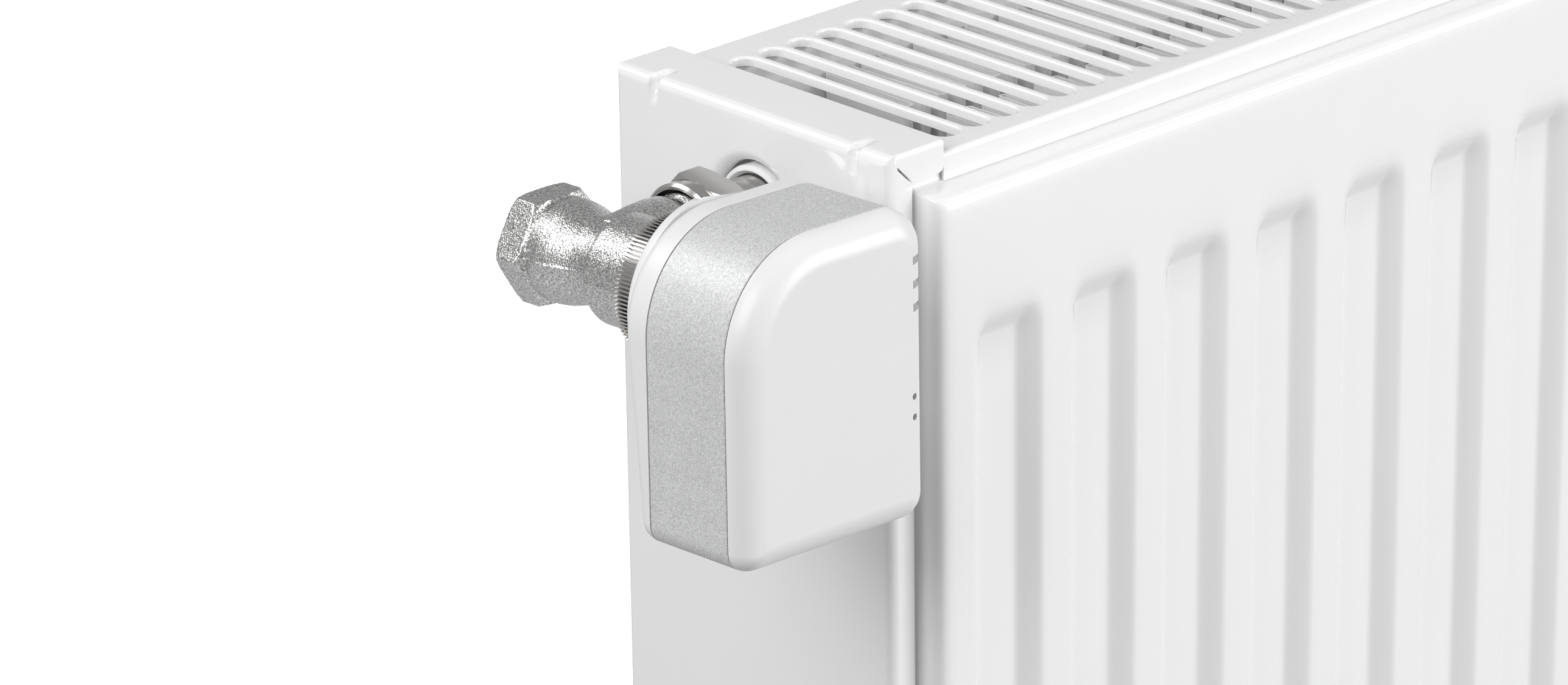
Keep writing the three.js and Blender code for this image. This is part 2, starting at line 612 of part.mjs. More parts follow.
function couplingRing() {
  const r = RING;
  const ribbed = [];
  for (let i = 0; i < r.ribs; i += 1) {
    const step = (2 * Math.PI) / r.ribs;
    for (const [radius, share] of [[r.radius, 0.1], [r.radius, 0.5], [r.radius - r.ribHeight, 0.6], [r.radius - r.ribHeight, 1]]) {
      ribbed.push([radius * Math.cos((i + share) * step), radius * Math.sin((i + share) * step)]);
    }
  }
  return prism('Y', ribbed, r.end, r.start)
    .subtract(rod('Y', r.boreRadius, r.end + r.lipLength, r.start + 1, 36))
    .subtract(rod('Y', r.lipRadius, r.end - 1, r.start, 32));
}
add(head, 'coupling_ring', couplingRing(), FINISH.nickel);

/** The head's outline in the XZ plane, drawn in by an inset. */
function headOutline(inset = 0, steps = 5) {
  const { halfWidth, top, bottom, bigCorner, topCorner, lowCorner } = HEAD;
  const x = halfWidth - inset;
  const z1 = top - inset;
  const z0 = bottom + inset;
  const corners = [[x, z1, topCorner, 0], [-x, z1, bigCorner, 90], [-x, z0, lowCorner, 180], [x, z0, lowCorner, 270]];
  const points = [];
  for (const [cx, cz, radius, start] of corners) {
    const r = Math.max(radius - inset, 0.6);
    const count = radius > 15 ? 2 * steps : steps;
    for (let i = 0; i <= count; i += 1) {
      const angle = THREE.MathUtils.degToRad(start + (90 * i) / count);
      points.push([cx - Math.sign(cx) * r + r * Math.cos(angle), cz - Math.sign(cz + 13) * r + r * Math.sin(angle)]);
    }
  }
  return points;
}

/** Skins a stack of head outlines, given as [inset, y] pairs, into one closed solid. */
function headLoft(levels) {
  const loops = levels.map(([inset, y]) => headOutline(inset).map(([x, z]) => [x, y, z]));
  const count = loops[0].length;
  const positions = loops.flat(2);
  const index = [];
  for (let k = 0; k + 1 < loops.length; k += 1) {
    for (let i = 0; i < count; i += 1) {
      const j = (i + 1) % count;
      index.push(k * count + i, k * count + j, (k + 1) * count + j, k * count + i, (k + 1) * count + j, (k + 1) * count + i);
    }
  }
  const last = (loops.length - 1) * count;
  const face = THREE.ShapeUtils.triangulateShape(loops[0].map(([x, , z]) => new THREE.Vector2(x, z)), []);
  for (const [a, b, c] of face) index.push(a, c, b, last + a, last + b, last + c);
  const geometry = new THREE.BufferGeometry();
  geometry.setAttribute('position', new THREE.BufferAttribute(new Float32Array(positions), 3));
  geometry.setIndex(index);
  return solid(geometry);
}

const bandOutline = headOutline();
const bandInner = headOutline(HEAD.wall);

function rearShell() {
  const h = HEAD;
  const ramp = (drop) => prism('X', [[h.backPlane - drop, h.slopeTop], [h.backPlane - drop + 30, h.slopeTop],
    [h.backPlane - drop + 30, h.bottom - 9], [h.backPlane - drop - h.slopeDepth * ((h.slopeTop - h.bottom + 9) / (h.slopeTop - h.slopeBottom)),
      h.bottom - 9]], -100, 100);
  const outer = headLoft([[2.2, h.backPlane], [0.7, h.backPlane - 0.8], [0, h.backPlane - 2.4], [0, h.bandStart + h.seam]])
    .subtract(ramp(0))
    .add(turned('Y', [[0, h.collarStart], [h.collarRadius - 1.4, h.collarStart], [h.collarRadius, h.collarStart - 1.2],
      [h.collarRadius, h.backPlane - 3], [0, h.backPlane - 3]], 40));
  const hollow = prism('Y', bandInner, h.bandStart - 1, h.backPlane - h.wall)
    .subtract(ramp(h.wall))
    .add(rod('Y', h.collarRadius - h.wall, h.backPlane - 3, h.collarStart - h.wall, 40));
  const notch = block(-h.halfWidth - 1, -h.halfWidth + h.notchDepth, h.backPlane - 4.6, h.backPlane - 3.1, -41.5, -30.5);
  return outer.subtract(hollow).subtract(rod('Y', RING.lipRadius + 0.2, h.bandStart, h.collarStart + 1, 32)).subtract(notch);
}
add(head, 'rear_shell', rearShell(), FINISH.whitePlastic);
const silverBand = prism('Y', bandOutline, HEAD.bandEnd + HEAD.seam, HEAD.bandStart, [bandInner.slice().reverse()]);
add(head, 'silver_band', silverBand, FINISH.silverPaint);

function frontCover() {
  const h = HEAD;
  const r = h.coverEdge;
  const levels = [[0, h.bandEnd]];
  for (const turn of [30, 60, 90]) {
    const a = THREE.MathUtils.degToRad(turn);
    levels.push([r * (1 - Math.cos(a)), h.bandEnd - 0.5 - (h.bandEnd - 0.5 - h.front) * Math.sin(a)]);
  }
  const shell = headLoft(levels.map(([inset, y]) => [inset, y]));
  const hollow = headLoft([[h.wall, h.bandEnd + 1], [h.wall, h.bandEnd - 1.5], [r, h.front + h.wall]]);
  let cover = shell.subtract(hollow);
  for (const z of [13, 7, 1.2]) {
    cover = cover.subtract(block(h.halfWidth - 7.5, h.halfWidth + 1, h.front - 1, h.front + 5, z - 1, z + 1));
  }
  for (const z of [-20.7, -25.8]) cover = cover.subtract(rod('Y', 0.8, h.front - 1, h.bandEnd, 12).translate([h.halfWidth - 6, 0, z]));
  return cover;
}
add(head, 'front_cover', frontCover(), FINISH.whitePlastic);

// Adapter: the neck that the coupling ring clamps against the bonnet.
const adapter = turned('Y', [
  [INSERT.guideRadius + 0.6, INSERT.flangeEnd - 0.4], [RING.boreRadius - 0.8, INSERT.flangeEnd - 0.4], [RING.boreRadius - 0.8, RING.end + RING.lipLength + 0.3],
  [RING.lipRadius - 0.4, RING.end + RING.lipLength + 0.3], [RING.lipRadius - 0.4, -42.4], [INSERT.guideRadius + 0.6, -42.4]], 28);
// The adapter's flange fills the room between the bonnet's face and the ring's lip.
add(head, 'head_adapter', adapter, FINISH.steel);

// Chassis plate: the cells lie in front of it, the gears behind it.
const chassisPlane = -58.6;
const innerWall = HEAD.wall + 0.5;
const wheelRadius = (DRIVE.module * DRIVE.wheelTeeth) / 2;
const smallRadius = (DRIVE.module * DRIVE.smallTeeth) / 2;
const largeRadius = (DRIVE.module * DRIVE.largeTeeth) / 2;
const pinionRadius = (DRIVE.module * DRIVE.pinionTeeth) / 2;
const idlerZ = -(wheelRadius + smallRadius + DRIVE.backlash);
const pinionZ = idlerZ - (largeRadius + pinionRadius + DRIVE.backlash);
const chassis = prism('Y', headOutline(innerWall), chassisPlane, chassisPlane + 2)
  .subtract(rod('Y', DRIVE.plungerRadius + 0.6, chassisPlane - 1, chassisPlane + 3, 24));
add(head, 'chassis_plate', chassis, FINISH.darkPlastic);

/** A spur gear about the Y axis, with a tooth or a gap along +Z. */
function gear(teeth, from, to, gapUp, bore) {
  const pitch = (DRIVE.module * teeth) / 2;
  const outline = [];
  const step = (2 * Math.PI) / teeth;
  for (let i = 0; i < teeth; i += 1) {
    const middle = Math.PI / 2 + (i + (gapUp ? 0.5 : 0)) * step;
    for (const [radius, offset] of [[pitch - 1.1 * DRIVE.module, -0.36], [pitch + 0.85 * DRIVE.module, -0.12],
      [pitch + 0.85 * DRIVE.module, 0.12], [pitch - 1.1 * DRIVE.module, 0.36]]) {
      outline.push([radius * Math.cos(middle + offset * step), radius * Math.sin(middle + offset * step)]);
    }
  }
  const body = prism('Y', outline, from, to);
  return bore > 0 ? body.subtract(rod('Y', bore, from - 1, to + 1, 20)) : body;
}
const wheelTo = DRIVE.wheelPlane + DRIVE.faceWidth;
// The wheel has a tooth towards the idler below it; the idler's small gear has a gap towards the wheel.
const wheel = gear(DRIVE.wheelTeeth, DRIVE.wheelPlane, wheelTo, false, DRIVE.plungerRadius + 0.3)
  .add(sleeve('Y', DRIVE.plungerRadius + 2.2, DRIVE.plungerRadius + 0.3, -56, wheelTo + 1.5, 24));
add(head, 'drive_wheel', wheel, FINISH.acetal);
const idler = gear(DRIVE.smallTeeth, DRIVE.wheelPlane, wheelTo, true, 1.3)
  .add(gear(DRIVE.largeTeeth, DRIVE.wheelPlane - 3.6, DRIVE.wheelPlane - 0.4, false, 1.3))
  .add(sleeve('Y', 2.4, 1.3, DRIVE.wheelPlane - 0.6, DRIVE.wheelPlane + 0.2, 16));
add(head, 'idler_gear', idler.translate([0, 0, idlerZ]), FINISH.acetal);
add(head, 'idler_axle', rod('Y', 1, chassisPlane + 2.3, -45.5, 12).translate([0, 0, idlerZ]), FINISH.steel);
const pinion = gear(DRIVE.pinionTeeth, DRIVE.wheelPlane - 3.6, DRIVE.wheelPlane - 0.4, true, 0)
  .add(rod('Y', 0.9, DRIVE.wheelPlane - 1, DRIVE.wheelPlane + 1.2, 12));
add(head, 'motor_pinion', pinion.translate([0, 0, pinionZ]), FINISH.brass);
const motorFront = wheelTo + DRIVE.motorGap;
const motorBack = motorFront + DRIVE.motorLength;
const motor = turned('Y', [[0, motorFront], [DRIVE.motorRadius - 0.8, motorFront],
  [DRIVE.motorRadius, motorFront + 0.8], [DRIVE.motorRadius, motorBack], [0, motorBack]], 28);
add(head, 'drive_motor', motor.translate([0, 0, pinionZ]), FINISH.steel);
const plunger = turned('Y', [[0, -56.5], [DRIVE.plungerRadius, -56.5], [DRIVE.plungerRadius, -44], [DRIVE.plungerRadius - 0.6, -43.4],
  [2.6, -43.4], [2.6, INSERT.spindleTip - 0.3], [0, INSERT.spindleTip - 0.3]], 24);
add(head, 'plunger', plunger, FINISH.brass);

// Circuit board beside the gears, and two cells with their contacts in front of the chassis.
const board = block(14.8, HEAD.halfWidth - HEAD.wall - 1.5, -49.6, -48, HEAD.bottom + 16, 8)
  .add(block(17, 23, -48.2, -46.4, -12, -4));
add(head, 'circuit_board', board, FINISH.board);
const cellX = [-CELL.spacing / 2 - 0.2, CELL.spacing / 2 + 0.2];
cellX.forEach((x, i) => {
  const turnUp = i === 0 ? 1 : -1;
  const half = CELL.length / 2;
  const cell = turned('Z', [[0, -half], [CELL.radius - 0.5, -half], [CELL.radius, -half + 0.5], [CELL.radius, half - 0.8],
    [CELL.radius - 0.6, half - 0.2], [CELL.nubRadius, half - 0.2], [CELL.nubRadius, half + CELL.nubHeight - 0.2], [0, half + CELL.nubHeight - 0.2]], 20);
  const body = turnUp > 0 ? cell : cell.mirror([0, 0, 1]);
  add(head, `battery_${i + 1}`, body.translate([x, CELL.plane, CELL.centreZ]), FINISH.cellWrap);
});
const contactReach = CELL.length / 2 + CELL.nubHeight + 0.3;
for (const [name, side] of [['upper_contact', 1], ['lower_contact', -1]]) {
  const z0 = CELL.centreZ + side * contactReach;
  const strip = block(-13, 13, CELL.plane - 4, CELL.plane + 4, Math.min(z0, z0 + side * 0.5), Math.max(z0, z0 + side * 0.5));
  add(head, name, strip, FINISH.steel);
}

// ---------------------------------------------------------------- origin
root.position.set(-RADIATOR.length / 2, -(totalDepth + LUG.reach), LUG.fromTop + LUG.height / 2 - LUG.notchDepth);

export default root;
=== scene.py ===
"""Panel radiator with a corner valve and a battery-driven head, dressed for the camera."""
import json
import logging
import math
from dataclasses import dataclass, field
from enum import Enum
from typing import Callable, Sequence

import bmesh
import bpy
from mathutils import Matrix, Vector


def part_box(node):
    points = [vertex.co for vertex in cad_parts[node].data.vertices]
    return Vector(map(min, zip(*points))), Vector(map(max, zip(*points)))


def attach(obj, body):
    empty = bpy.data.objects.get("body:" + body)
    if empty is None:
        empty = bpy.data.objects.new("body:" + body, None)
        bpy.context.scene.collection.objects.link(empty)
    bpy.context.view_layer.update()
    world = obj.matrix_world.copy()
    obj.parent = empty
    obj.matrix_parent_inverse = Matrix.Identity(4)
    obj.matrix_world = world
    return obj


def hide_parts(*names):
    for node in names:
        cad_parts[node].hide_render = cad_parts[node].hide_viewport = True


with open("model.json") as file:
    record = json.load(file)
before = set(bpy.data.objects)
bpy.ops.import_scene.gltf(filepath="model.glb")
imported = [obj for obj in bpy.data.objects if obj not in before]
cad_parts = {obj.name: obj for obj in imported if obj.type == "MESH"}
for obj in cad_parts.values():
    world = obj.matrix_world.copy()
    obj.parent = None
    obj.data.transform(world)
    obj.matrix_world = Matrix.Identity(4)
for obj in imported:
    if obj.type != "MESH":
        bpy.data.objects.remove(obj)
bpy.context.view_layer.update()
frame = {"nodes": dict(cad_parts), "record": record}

LOG = logging.getLogger("radiator")
MILLIMETRE = 0.001
Point = tuple[float, float, float]


class Axis(Enum):
    """The three directions a piece can be turned or pushed along."""

    X = (1.0, 0.0, 0.0)
    Y = (0.0, 1.0, 0.0)
    Z = (0.0, 0.0, 1.0)

    def point(self, radius: float, along: float) -> Point:
        """A point of a turning profile.

        Args:
            radius: Distance from the axis.
            along: Place on the axis.

        Returns:
            The point, beside the axis.
        """
        if self is Axis.X:
            return (along, 0.0, radius)
        if self is Axis.Y:
            return (radius, along, 0.0)
        return (radius, 0.0, along)


class Join(Enum):
    """How one solid acts on another."""

    ADD = "UNION"
    CUT = "DIFFERENCE"
    KEEP_SHARED = "INTERSECT"


# ------------------------------------------------------------------ places

@dataclass(frozen=True)
class Places:
    """Where the assemblies stand in the object's frame, in millimetres and degrees."""

    to_object: Point = (-300.0, -121.0, 95.0)
    port: Point = (0.0, 55.6, -27.1)
    valve_stand_off: float = 46.2
    valve_turn: float = -2.2
    head_roll: float = 1.8

    def radiator(self) -> Matrix:
        """The radiator's working frame, from the cover's outer face and the lands of the front panel."""
        return Matrix.Scale(MILLIMETRE, 4) @ Matrix.Translation(self.to_object)

    def valve(self) -> Matrix:
        """The valve's frame, where its axis meets the axis of the port."""
        centre = Matrix.Translation((self.port[0] - self.valve_stand_off, self.port[1], self.port[2]))
        return self.radiator() @ centre @ Matrix.Rotation(math.radians(self.valve_turn), 4, "X")

    def head(self) -> Matrix:
        """The head's frame: the valve's, rolled about the valve's axis."""
        return self.valve() @ Matrix.Rotation(math.radians(self.head_roll), 4, "Y")


PLACES = Places()


# ------------------------------------------------------------------ the bench

class Bench:
    """Modelling moves, made on one piece at a time."""

    @staticmethod
    def clear() -> None:
        """Leaves edit mode and lets go of everything."""
        if bpy.context.mode != "OBJECT":
            bpy.ops.object.mode_set(mode="OBJECT")
        bpy.ops.object.select_all(action="DESELECT")

    @staticmethod
    def take(*pieces: bpy.types.Object) -> None:
        """Selects pieces, the first one active.

        Args:
            pieces: The pieces to hold.
        """
        Bench.clear()
        for piece in pieces:
            piece.select_set(True)
        bpy.context.view_layer.objects.active = pieces[0]

    @staticmethod
    def edit(piece: bpy.types.Object, mode: str = "FACE") -> None:
        """Opens a piece in edit mode with nothing selected.

        Args:
            piece: The piece to open.
            mode: VERT, EDGE or FACE.
        """
        Bench.take(piece)
        bpy.ops.object.mode_set(mode="EDIT")
        bpy.ops.mesh.select_mode(type=mode)
        bpy.ops.mesh.select_all(action="DESELECT")

    @staticmethod
    def pick(piece: bpy.types.Object, kind: str, test: Callable[[Vector], bool]) -> int:
        """Selects the elements whose middle passes a test, and nothing else.

        Args:
            piece: The piece in edit mode.
            kind: verts, edges or faces.
            test: Says whether an element at that place is wanted.

        Returns:
            How many were selected.
        """
        bpy.ops.mesh.select_all(action="DESELECT")
        mesh = bmesh.from_edit_mesh(piece.data)
        count = 0
        for item in getattr(mesh, kind):
            if kind == "verts":
                middle = item.co
            elif kind == "edges":
                middle = (item.verts[0].co + item.verts[1].co) / 2
            else:
                middle = item.calc_center_median()
            if test(middle):
                item.select_set(True)
                count += 1
        mesh.select_flush_mode()
        bmesh.update_edit_mesh(piece.data)
        return count

    @staticmethod
    def begin(name: str) -> bpy.types.Object:
        """The piece that a primitive operator has just added.

        Args:
            name: The piece's name.

        Returns:
            The piece.
        """
        piece = bpy.context.active_object
        piece.name = name
        piece.data.name = name
        return piece

    @staticmethod
    def block(name: str, low: Point, high: Point) -> bpy.types.Object:
        """A block between two corners.

        Args:
            name: The piece's name.
            low: Its lowest corner.
            high: Its highest corner.

        Returns:
            The block.
        """
        Bench.clear()
        size = Vector(high) - Vector(low)
        bpy.ops.mesh.primitive_cube_add(size=1, location=(Vector(high) + Vector(low)) / 2)
        piece = Bench.begin(name)
        piece.scale = size
        bpy.ops.object.transform_apply(location=True, rotation=True, scale=True)
        return piece

    @staticmethod
    def loop(name: str, points: Sequence[Point], filled: bool = False) -> bpy.types.Object:
        """A closed outline, laid from a circle with as many corners.

        Args:
            name: The piece's name.
            points: The outline's corners in order.
            filled: Whether a face fills the outline.

        Returns:
            The outline as a mesh.
        """
        Bench.clear()
        fill = "NGON" if filled else "NOTHING"
        bpy.ops.mesh.primitive_circle_add(vertices=len(points), radius=1, fill_type=fill)
        piece = Bench.begin(name)
        for corner, point in zip(piece.data.vertices, points):
            corner.co = point
        return piece

    @staticmethod
    def join(pieces: Sequence[bpy.types.Object], weld: float = 0.0) -> bpy.types.Object:
        """Joins pieces into the first one.

        Args:
            pieces: What to join.
            weld: Merges points closer than this.

        Returns:
            The first piece.
        """
        Bench.take(*pieces)
        bpy.ops.object.join()
        if weld > 0:
            Bench.edit(pieces[0], "VERT")
            bpy.ops.mesh.select_all(action="SELECT")
            bpy.ops.mesh.remove_doubles(threshold=weld)
            Bench.clear()
        return pieces[0]

    @staticmethod
    def out(piece: bpy.types.Object) -> bpy.types.Object:
        """Turns a closed piece's faces outwards and gives it back."""
        Bench.edit(piece)
        bpy.ops.mesh.select_all(action="SELECT")
        bpy.ops.mesh.normals_make_consistent(inside=False)
        Bench.clear()
        return piece

    @staticmethod
    def prism(name: str, outline: Sequence[tuple[float, float]], axis: Axis, start: float,
              end: float) -> bpy.types.Object:
        """Pushes a filled outline along an axis.

        Args:
            name: The piece's name.
            outline: Corners in the plane across the axis: (y, z), (x, z) or (x, y).
            axis: The direction of the push.
            start: Where it begins.
            end: Where it ends.

        Returns:
            The closed solid.
        """
        lay = {Axis.X: lambda a, b: (start, a, b), Axis.Y: lambda a, b: (a, start, b), Axis.Z: lambda a,
               b: (a, b, start)}[axis]
        piece = Bench.loop(name, [lay(a, b) for a, b in outline], filled=True)
        Bench.edit(piece)
        bpy.ops.mesh.select_all(action="SELECT")
        push = Vector(axis.value) * (end - start)
        bpy.ops.mesh.extrude_region_move(TRANSFORM_OT_translate={"value": push})
        return Bench.out(piece)

    @staticmethod
    def turned(name: str, profile: Sequence[tuple[float, float]], axis: Axis,
               steps: int = 72) -> bpy.types.Object:
        """Turns a profile about an axis, as on a lathe.

        Args:
            name: The piece's name.
            profile: (radius, place along the axis) points; one that doesn't start on the axis
                closes on itself.
            axis: The axis of turning.
            steps: Faces round the piece.

        Returns:
            The closed solid.
        """
        Bench.clear()
        bpy.ops.mesh.primitive_plane_add(size=1)
        piece = Bench.begin(name)
        Bench.edit(piece, "VERT")
        bpy.ops.mesh.select_all(action="SELECT")
        bpy.ops.mesh.merge(type="CENTER")
        points = [Vector(axis.point(radius, along)) for radius, along in profile]
        if profile[0][0] > 0:
            points.append(points[0])
        bpy.ops.transform.translate(value=points[0])
        for here, there in zip(points, points[1:]):
            bpy.ops.mesh.extrude_vertices_move(TRANSFORM_OT_translate={"value": there - here})
        bpy.ops.mesh.select_all(action="SELECT")
        bpy.ops.mesh.spin(steps=steps, angle=2 * math.pi, center=(0, 0, 0), axis=axis.value)
        bpy.ops.mesh.select_all(action="SELECT")
        bpy.ops.mesh.remove_doubles(threshold=0.002)
        return Bench.out(piece)

    @staticmethod
    def lofted(name: str, rings: Sequence[Sequence[Point]], around: bool) -> bpy.types.Object:
        """Bridges a row of outlines with equally many corners.

        Args:
            name: The piece's name.
            rings: The outlines in order.
            around: Bridges the last to the first; otherwise both ends are capped.

        Returns:
            The closed solid.
        """
        loops = [Bench.loop(f"{name}_{k}", ring) for k, ring in enumerate(rings)]
        piece = Bench.join(loops)
        piece.name = name
        count = len(rings[0])
        order = list(range(len(rings)))
        pairs = list(zip(order, order[1:] + order[:1])) if around else list(zip(order, order[1:]))
        Bench.edit(piece, "EDGE")
        for first, second in pairs:
            mesh = bmesh.from_edit_mesh(piece.data)
            mesh.verts.ensure_lookup_table()
            mesh.verts.index_update()
            bpy.ops.mesh.select_all(action="DESELECT")
            wanted = (first, second)
            for edge in mesh.edges:
                ends = {vert.index // count for vert in edge.verts}
                edge.select_set(len(ends) == 1 and ends.pop() in wanted)
            bmesh.update_edit_mesh(piece.data)
            bpy.ops.mesh.bridge_edge_loops()
        if not around:
            for last in (0, len(rings) - 1):
                mesh = bmesh.from_edit_mesh(piece.data)
                bpy.ops.mesh.select_all(action="DESELECT")
                for edge in mesh.edges:
                    edge.select_set(all(vert.index // count == last for vert in edge.verts))
                bmesh.update_edit_mesh(piece.data)
                bpy.ops.mesh.edge_face_add()
        return Bench.out(piece)

    @staticmethod
    def modify(piece: bpy.types.Object, kind: str, **settings: object) -> bpy.types.Object:
        """Adds a modifier and applies it.

        Args:
            piece: The piece.
            kind: The modifier's type.
            settings: Its settings by name.

        Returns:
            The piece.
        """
        Bench.take(piece)
        modifier = piece.modifiers.new(kind.title(), kind)
        for key, value in settings.items():
            setattr(modifier, key, value)
        bpy.ops.object.modifier_apply(modifier=modifier.name)
        return piece

    @staticmethod
    def act(piece: bpy.types.Object, tool: bpy.types.Object, how: Join) -> bpy.types.Object:
        """Adds, cuts or intersects a piece with a tool, which is used up.

        Args:
            piece: The piece to change.
            tool: The solid that acts on it.
            how: What it does.

        Returns:
            The piece.
        """
        Bench.modify(piece, "BOOLEAN", operation=how.value, object=tool, solver="EXACT")
        bpy.data.objects.remove(tool, do_unlink=True)
        return piece

    @staticmethod
    def smooth(piece: bpy.types.Object, angle: float = 32.0, weighted: bool = True) -> bpy.types.Object:
        """Shades a piece smooth below an angle, with flat faces kept flat.

        Args:
            piece: The piece.
            angle: Edges sharper than this stay sharp, in degrees.
            weighted: Weighs the normals by face area.

        Returns:
            The piece.
        """
        Bench.take(piece)
        bpy.ops.object.shade_smooth_by_angle(angle=math.radians(angle))
        if weighted:
            Bench.modify(piece, "WEIGHTED_NORMAL", keep_sharp=True)
        return piece


@dataclass(frozen=True)
class Fitting:
    """Places a finished piece: what it rides on, stands for and is finished in."""

    body: str
    slot: str
    nodes: tuple[str, ...] = ()

    def fit(self, piece: bpy.types.Object, place: Matrix, material: bpy.types.Material) -> bpy.types.Object:
        """Args:
            piece: The finished piece, in millimetres in its own frame.
            place: From that frame to the object's.
            material: Its finish.

        Returns:
            The piece.
        """
        Bench.clear()
        piece.data.transform(place)
        piece.data.materials.clear()
        piece.data.materials.append(material)
        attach(piece, self.body)
        if self.nodes:
            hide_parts(*self.nodes)
        LOG.info("%s: %d faces on %s", piece.name, len(piece.data.polygons), self.body)
        return piece


# ------------------------------------------------------------------ finishes

@dataclass(frozen=True)
class Finish:
    """A procedural surface: a base shader with tone, roughness and relief that vary over the piece."""

    name: str
    colour: tuple[float, float, float]
    roughness: float
    metallic: float = 0.0
    coat: float = 0.0
    grain: float = 300.0
    grain_depth: float = 0.0
    tone: float = 0.02
    tone_scale: float = 40.0
    roughness_spread: float = 0.04
    flake: float = 0.0
    specular: float = 0.5

    def make(self) -> bpy.types.Material:
        """Builds the material.

        Returns:
            The material with its node tree.
        """
        material = bpy.data.materials.new(self.name)
        material.use_nodes = True
        tree = material.node_tree
        shader = tree.nodes["Principled BSDF"]
        shader.inputs["Metallic"].default_value = self.metallic
        shader.inputs["Coat Weight"].default_value = self.coat
        shader.inputs["Coat Roughness"].default_value = 0.05
        shader.inputs["Specular IOR Level"].default_value = self.specular
        place = tree.nodes.new("ShaderNodeTexCoord").outputs["Object"]
        patches = self._noise(tree, place, self.tone_scale, 3.0)
        low = tuple(max(0.0, channel * (1 - self.tone)) for channel in self.colour)
        colour = self._ramp(tree, patches, low, self.colour)
        if self.flake > 0:
            colour = self._flakes(tree, place, colour)
        tree.links.new(colour, shader.inputs["Base Color"])
        rough = tree.nodes.new("ShaderNodeMapRange")
        rough.inputs["To Min"].default_value = max(0.02, self.roughness - self.roughness_spread)
        rough.inputs["To Max"].default_value = self.roughness + self.roughness_spread
        tree.links.new(patches, rough.inputs["Value"])
        tree.links.new(rough.outputs["Result"], shader.inputs["Roughness"])
        if self.grain_depth > 0:
            bump = tree.nodes.new("ShaderNodeBump")
            bump.inputs["Strength"].default_value = 1.0
            bump.inputs["Distance"].default_value = self.grain_depth * MILLIMETRE
            tree.links.new(self._noise(tree, place, self.grain, 2.0), bump.inputs["Height"])
            tree.links.new(bump.outputs["Normal"], shader.inputs["Normal"])
        return material

    def _noise(self, tree: bpy.types.NodeTree, place: bpy.types.NodeSocket, scale: float,
               detail: float) -> bpy.types.NodeSocket:
        """A noise over the piece.

        Args:
            tree: The node tree.
            place: The coordinates it reads.
            scale: Waves per metre.
            detail: How many finer layers it has.

        Returns:
            The noise's value.
        """
        noise = tree.nodes.new("ShaderNodeTexNoise")
        noise.inputs["Scale"].default_value = scale
        noise.inputs["Detail"].default_value = detail
        tree.links.new(place, noise.inputs["Vector"])
        return noise.outputs["Fac"]

    def _ramp(self, tree: bpy.types.NodeTree, value: bpy.types.NodeSocket, low: Sequence[float],
              high: Sequence[float]) -> bpy.types.NodeSocket:
        """Turns a value into a colour between two tones.

        Args:
            tree: The node tree.
            value: What drives the colour.
            low: The darker tone.
            high: The lighter tone.

        Returns:
            The colour.
        """
        ramp = tree.nodes.new("ShaderNodeValToRGB")
        ramp.color_ramp.elements[0].color = (*low, 1.0)
        ramp.color_ramp.elements[0].position = 0.35
        ramp.color_ramp.elements[1].color = (*high, 1.0)
        ramp.color_ramp.elements[1].position = 0.65
        tree.links.new(value, ramp.inputs["Fac"])
        return ramp.outputs["Color"]

    def _flakes(self, tree: bpy.types.NodeTree, place: bpy.types.NodeSocket,
                colour: bpy.types.NodeSocket) -> bpy.types.NodeSocket:
        """Scatters small metal flakes of uneven brightness.

        Args:
            tree: The node tree.
            place: The coordinates it reads.
            colour: The colour under the flakes.

        Returns:
            The colour with its flakes.
        """
        cells = tree.nodes.new("ShaderNodeTexVoronoi")
        cells.inputs["Scale"].default_value = self.grain
        tree.links.new(place, cells.inputs["Vector"])
        split = tree.nodes.new("ShaderNodeSeparateColor")
        tree.links.new(cells.outputs["Color"], split.inputs["Color"])
        level = tree.nodes.new("ShaderNodeMapRange")
        level.inputs["To Min"].default_value = 1.0 - self.flake
        level.inputs["To Max"].default_value = 1.0 + self.flake
        tree.links.new(split.outputs["Red"], level.inputs["Value"])
        mix = tree.nodes.new("ShaderNodeVectorMath")
        mix.operation = "SCALE"
        tree.links.new(colour, mix.inputs[0])
        tree.links.new(level.outputs["Result"], mix.inputs["Scale"])
        return mix.outputs["Vector"]


